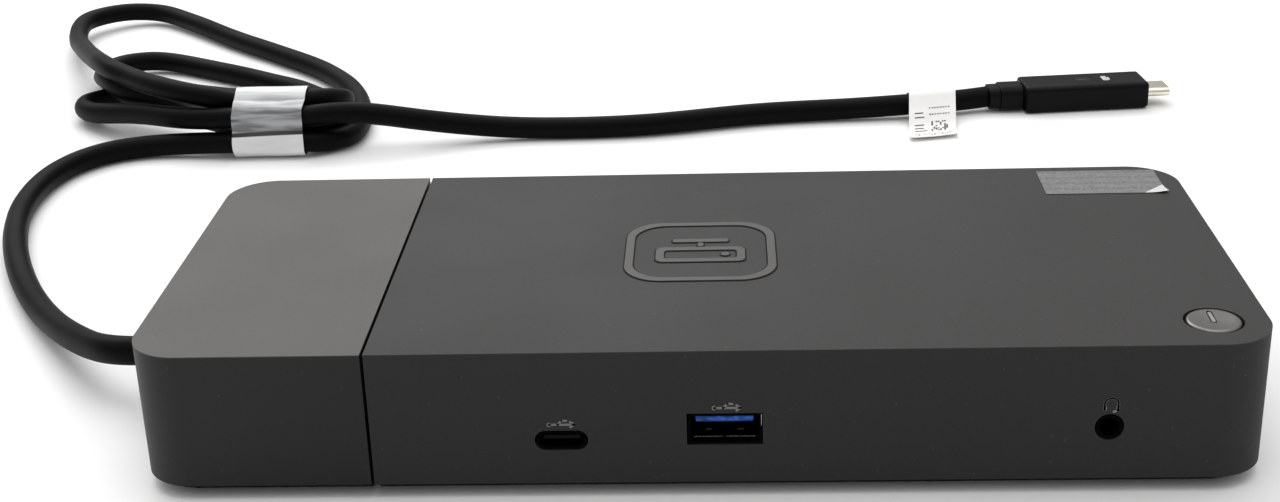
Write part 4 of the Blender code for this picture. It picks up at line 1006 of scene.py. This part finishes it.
def badge():
    """A plain rounded-square ring round a sketch of a box with a dot, joined to a bar above it."""
    cx, cy = BADGE_CENTRE
    place = Matrix.Translation((cx * MM, cy * MM, (HEIGHT + 0.02) * MM))
    meshes = {}
    # The marks are lighter than the cover, a painted highlight, and ringed by a thin near black edge, painted
    # shade.
    for kind, g, thick in (("line", 0.0, 0.2), ("edge", 0.28, 0.05)):
        ring = [rectangle((-r, r), (-r, r), r / 2, r / 2, 20) for r in (14.8 + g, 13.2 - g)]
        plates = [rectangle((-8.8 - g, 8.8 + g), (-5.6 - g, 1.8 + g), 1.6, 1.6, 10),
                  rectangle((-7.2 + g, 7.2 - g), (-4.0 + g, 0.2 - g), 0.8, 0.8, 10)]
        glyph = [
            plate(plates, (0, thick), place),
            plate([rectangle((-5.6 - g, 5.6 + g), (4.4 - g, 6.0 + g), 0.6, 0.6, 8)], (0, thick), place),
            strokes([[(0, 2.7), (0, 3.5)]], 1.2 + 2 * g, place, thick),
            plate([circle(4.9, -1.9, 0.85 + g, 24)], (0, thick), place),
        ]
        meshes[kind] = plate(ring, (0, thick), place), merged(glyph)
    ring, glyph = meshes["line"]
    ring = solved(ring, ("bevel", 0.06, 2, 50))
    piece("badge_ring", ring, "badge_line", ["top_badge"], 40)
    piece("badge_edge", merged(meshes["edge"]), "badge_edge", (), 40)
    piece("badge_glyph", glyph, "badge_line", (), 40)


def film_sticker():
    """A thin grey film without its near right corner, which film_curl lifts."""
    x0, x1, y0, y1 = FILM
    outline = [(x0, y0), (x1 - FILM_CURL, y0), (x1, y0 + FILM_CURL), (x1, y1), (x0, y1)]
    bm = bmesh.new()
    low = [bm.verts.new((x * MM, y * MM, FILM_BASE * MM)) for x, y in outline]
    high = [bm.verts.new((x * MM, y * MM, (FILM_BASE + 0.10) * MM)) for x, y in outline]
    bm.faces.new(high)
    bm.faces.new(low[::-1])
    for k in range(5):
        m = (k + 1) % 5
        bm.faces.new((low[k], low[m], high[m], high[k]))
    piece("film_sticker", finished(bm), "film_label", ["film_label"], 50, False)


def film_curl():
    """The film's lifted corner, which shows its pale back."""
    _, x1, y0, _ = FILM
    near, far = np.array((x1 - FILM_CURL, y0)), np.array((x1, y0 + FILM_CURL))
    tip = np.array((x1 + 0.3, y0 - 0.3))
    bm = bmesh.new()
    grid = []
    for t in np.linspace(0, 1, 9):
        a, b = near + (tip - near) * t, far + (tip - far) * t
        z = FILM_BASE + 0.10 + 0.55 * t * t
        grid.append([bm.verts.new((*(p * MM), z * MM)) for p in (a, (a + b) / 2, b)])
    for a, b in zip(grid, grid[1:]):
        for c in range(2):
            bm.faces.new((a[c], a[c + 1], b[c + 1], b[c]))
    bmesh.ops.remove_doubles(bm, verts=bm.verts, dist=1e-6)
    piece("film_curl", finished(bm), "mark", (), 50, False)


badge()
film_sticker()
film_curl()


# Front marks


def on_front(x, z):
    """The plane of the front wall, at x and z."""
    return in_wall(x, z, -DEPTH / 2 - 0.012)


def arrow_mark(x, z, s):
    """A plain mark for a data port, s times full size: an arrow with a dot at its tail and a short branch."""
    place = on_front(x, z)
    lines = [
        [(-2.6 * s, 0), (2.3 * s, 0)], [(1.6 * s, 0.55 * s), (2.4 * s, 0)],
        [(1.6 * s, -0.55 * s), (2.4 * s, 0)], [(-0.9 * s, 0), (-0.1 * s, 0.85 * s), (0.8 * s, 0.85 * s)],
    ]
    dot = plate([circle(-2.6 * s, 0, 0.45 * s, 20)], (0, 0.03), place)
    return merged([strokes(lines, 0.46 * s, place), dot])


def headset_mark(x, z):
    place = on_front(x, z)
    turns = [math.radians(a) for a in range(-10, 191, 20)]
    band = [(1.25 * math.cos(a), 1.25 * math.sin(a) + 0.1) for a in turns]
    lines = [band, [(-1.2, -0.15), (-1.2, -1.0)], [(1.2, -0.15), (1.2, -1.0)], [(1.2, -1.0), (0.45, -1.35)]]
    cups = [[(u, -0.35), (u, -0.95)] for u in (-1.1, 1.1)]
    return merged([strokes(lines, 0.46, place), strokes(cups, 0.55, place)])


marks = arrow_mark(-23.9, 14.75, 0.92), arrow_mark(5.8, 17.75, 0.95), headset_mark(73.3, 17.5)
for number, mark in enumerate(marks, 1):
    piece(f"front_mark_{number}", mark, "icon", (), 50, False)


# Ports


def usb_a_springs():
    """The pair of contact springs pressed into the front shell's lower wall."""
    x, z = FRONT_USB_A[:2]
    front = 0.25 - DEPTH / 2
    made = []
    for u in (x - 2.9, x + 2.9):
        made.append(box((u - 0.6, u + 0.6), (front + 3.6, front + 7.0), (z - 2.35, z - 1.9)))
    # Their steel is near black: painted shade inside the port.
    piece("front_usb_a_springs", solved(merged(made), ("bevel", 0.12, 2)), "spring", ())


def usb_a_lip():
    """The bright edge of the fold in the front shell's lower wall, open at the middle, and of its sides."""
    x, y, z = FRONT_USB_A[0], 1.9 - DEPTH / 2, 10.95
    made = [box((x + a, x + b), (y, y + 0.5), (z - 0.14, z + 0.14)) for a, b in ((-5.6, -0.3), (0.2, 5.6))]
    for a in (-6.5, 6.45):
        made.append(box((x + a, x + a + 0.16), (y - 1.5, y - 1.2), (z + 3.0, z + 5.3)))
    piece("front_usb_a_lip", solved(merged(made), ("bevel", 0.05, 2)), "lip", ())


def usb_a_blade():
    x, front = FRONT_USB_A[0], -DEPTH / 2
    block = box((x - 5.25, x + 5.25), (front + 1.45, front + 13.1), (14.1, 15.55))
    piece("front_usb_a_blade", solved(block, ("bevel", 0.35, 3)), "blade", ["front_usb_a_tongue"])


usb_a_springs()
usb_a_lip()
usb_a_blade()


# Finishes of the CAD nodes that stay

KEPT = {
    "base": ["main_base_cover", "module_base_cover"],
    "foot": ["left_foot", "right_foot", "module_foot"],
    "screw": [f"main_base_screw_{k}" for k in range(1, 5)] + [f"module_screw_{k}" for k in range(1, 7)],
    "board": ["main_board", "module_board"],
    "port_black": [
        "docking_socket", "docking_plug", "controller_chip", "switch_plunger", "front_usb_c_tongue",
        "rear_usb_c_tongue", "rear_hdmi_tongue", "rear_displayport_tongue_1", "rear_displayport_tongue_2",
        "rear_ethernet_jack", "rear_line_out_jack", "rear_dc_jack",
    ],
    "pad": ["thermal_pad"],
    "aluminium": ["heat_sink", "fan_lid"],
    "fan": ["fan_housing", "fan_impeller"],
    "steel": [
        "switch_body", "rear_usb_c_shell", "rear_hdmi_shell", "rear_displayport_shell_1",
        "rear_displayport_shell_2", "rear_usb_a_shell", "rear_dc_pin",
    ],
    # Painted shade: the front port shells, which are steel, and the jack are near black for the dark inside
    # of the openings.
    "painted_shade": ["front_usb_a_shell", "front_usb_c_shell", "front_audio_jack"],
    "blue": ["rear_usb_a_tongue_lower", "rear_usb_a_tongue_upper"],
}
for look, names in KEPT.items():
    for name in names:
        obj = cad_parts[name]
        if not obj.material_slots:
            obj.data.materials.append(None)
        for slot in obj.material_slots:
            slot.material = LOOKS[look]


# Floor and light

floor = placed("floor", box((-2500, 2500), (-2500, 2500), (-20, -0.05)))
floor_look = plastic("floor_paper", (0.93, 0.93, 0.925), 0.8, grain=3.0, depth=0.01, speckle=0.0, patch=400.0,
                     uneven=0.004, specular=0.2)
floor.data.materials.append(floor_look)

world = bpy.data.worlds.new("studio")
scene.world = world
world.use_nodes = True
tree = world.node_tree
background = tree.nodes["Background"]
background.inputs["Color"].default_value = (1.0, 1.0, 1.0, 1.0)
coordinate = tree.nodes.new("ShaderNodeTexCoord")
split = tree.nodes.new("ShaderNodeSeparateXYZ")
rise = tree.nodes.new("ShaderNodeMapRange")
for key, value in (("From Min", 0.0), ("From Max", 0.8), ("To Min", 0.22), ("To Max", 0.95)):
    rise.inputs[key].default_value = value
tree.links.new(coordinate.outputs["Generated"], split.inputs["Vector"])
tree.links.new(split.outputs["Z"], rise.inputs["Value"])
tree.links.new(rise.outputs["Result"], background.inputs["Strength"])


def area_light(name, place, target, size, power):
    data = bpy.data.lights.new(name, "AREA")
    data.shape = "RECTANGLE"
    data.size, data.size_y = size
    data.energy = power
    obj = placed(name, data)
    obj.location = place
    obj.rotation_euler = (Vector(target) - Vector(place)).to_track_quat("-Z", "Y").to_euler()


area_light("key", (-0.45, 0.95, 0.95), (-0.03, 0.05, 0.0), (1.3, 0.9), 9.0)
area_light("overhead", (0.1, 0.1, 1.5), (0.0, 0.05, 0.0), (1.2, 1.2), 6.0)

scene.view_settings.view_transform = "Standard"
scene.view_settings.look = "None"
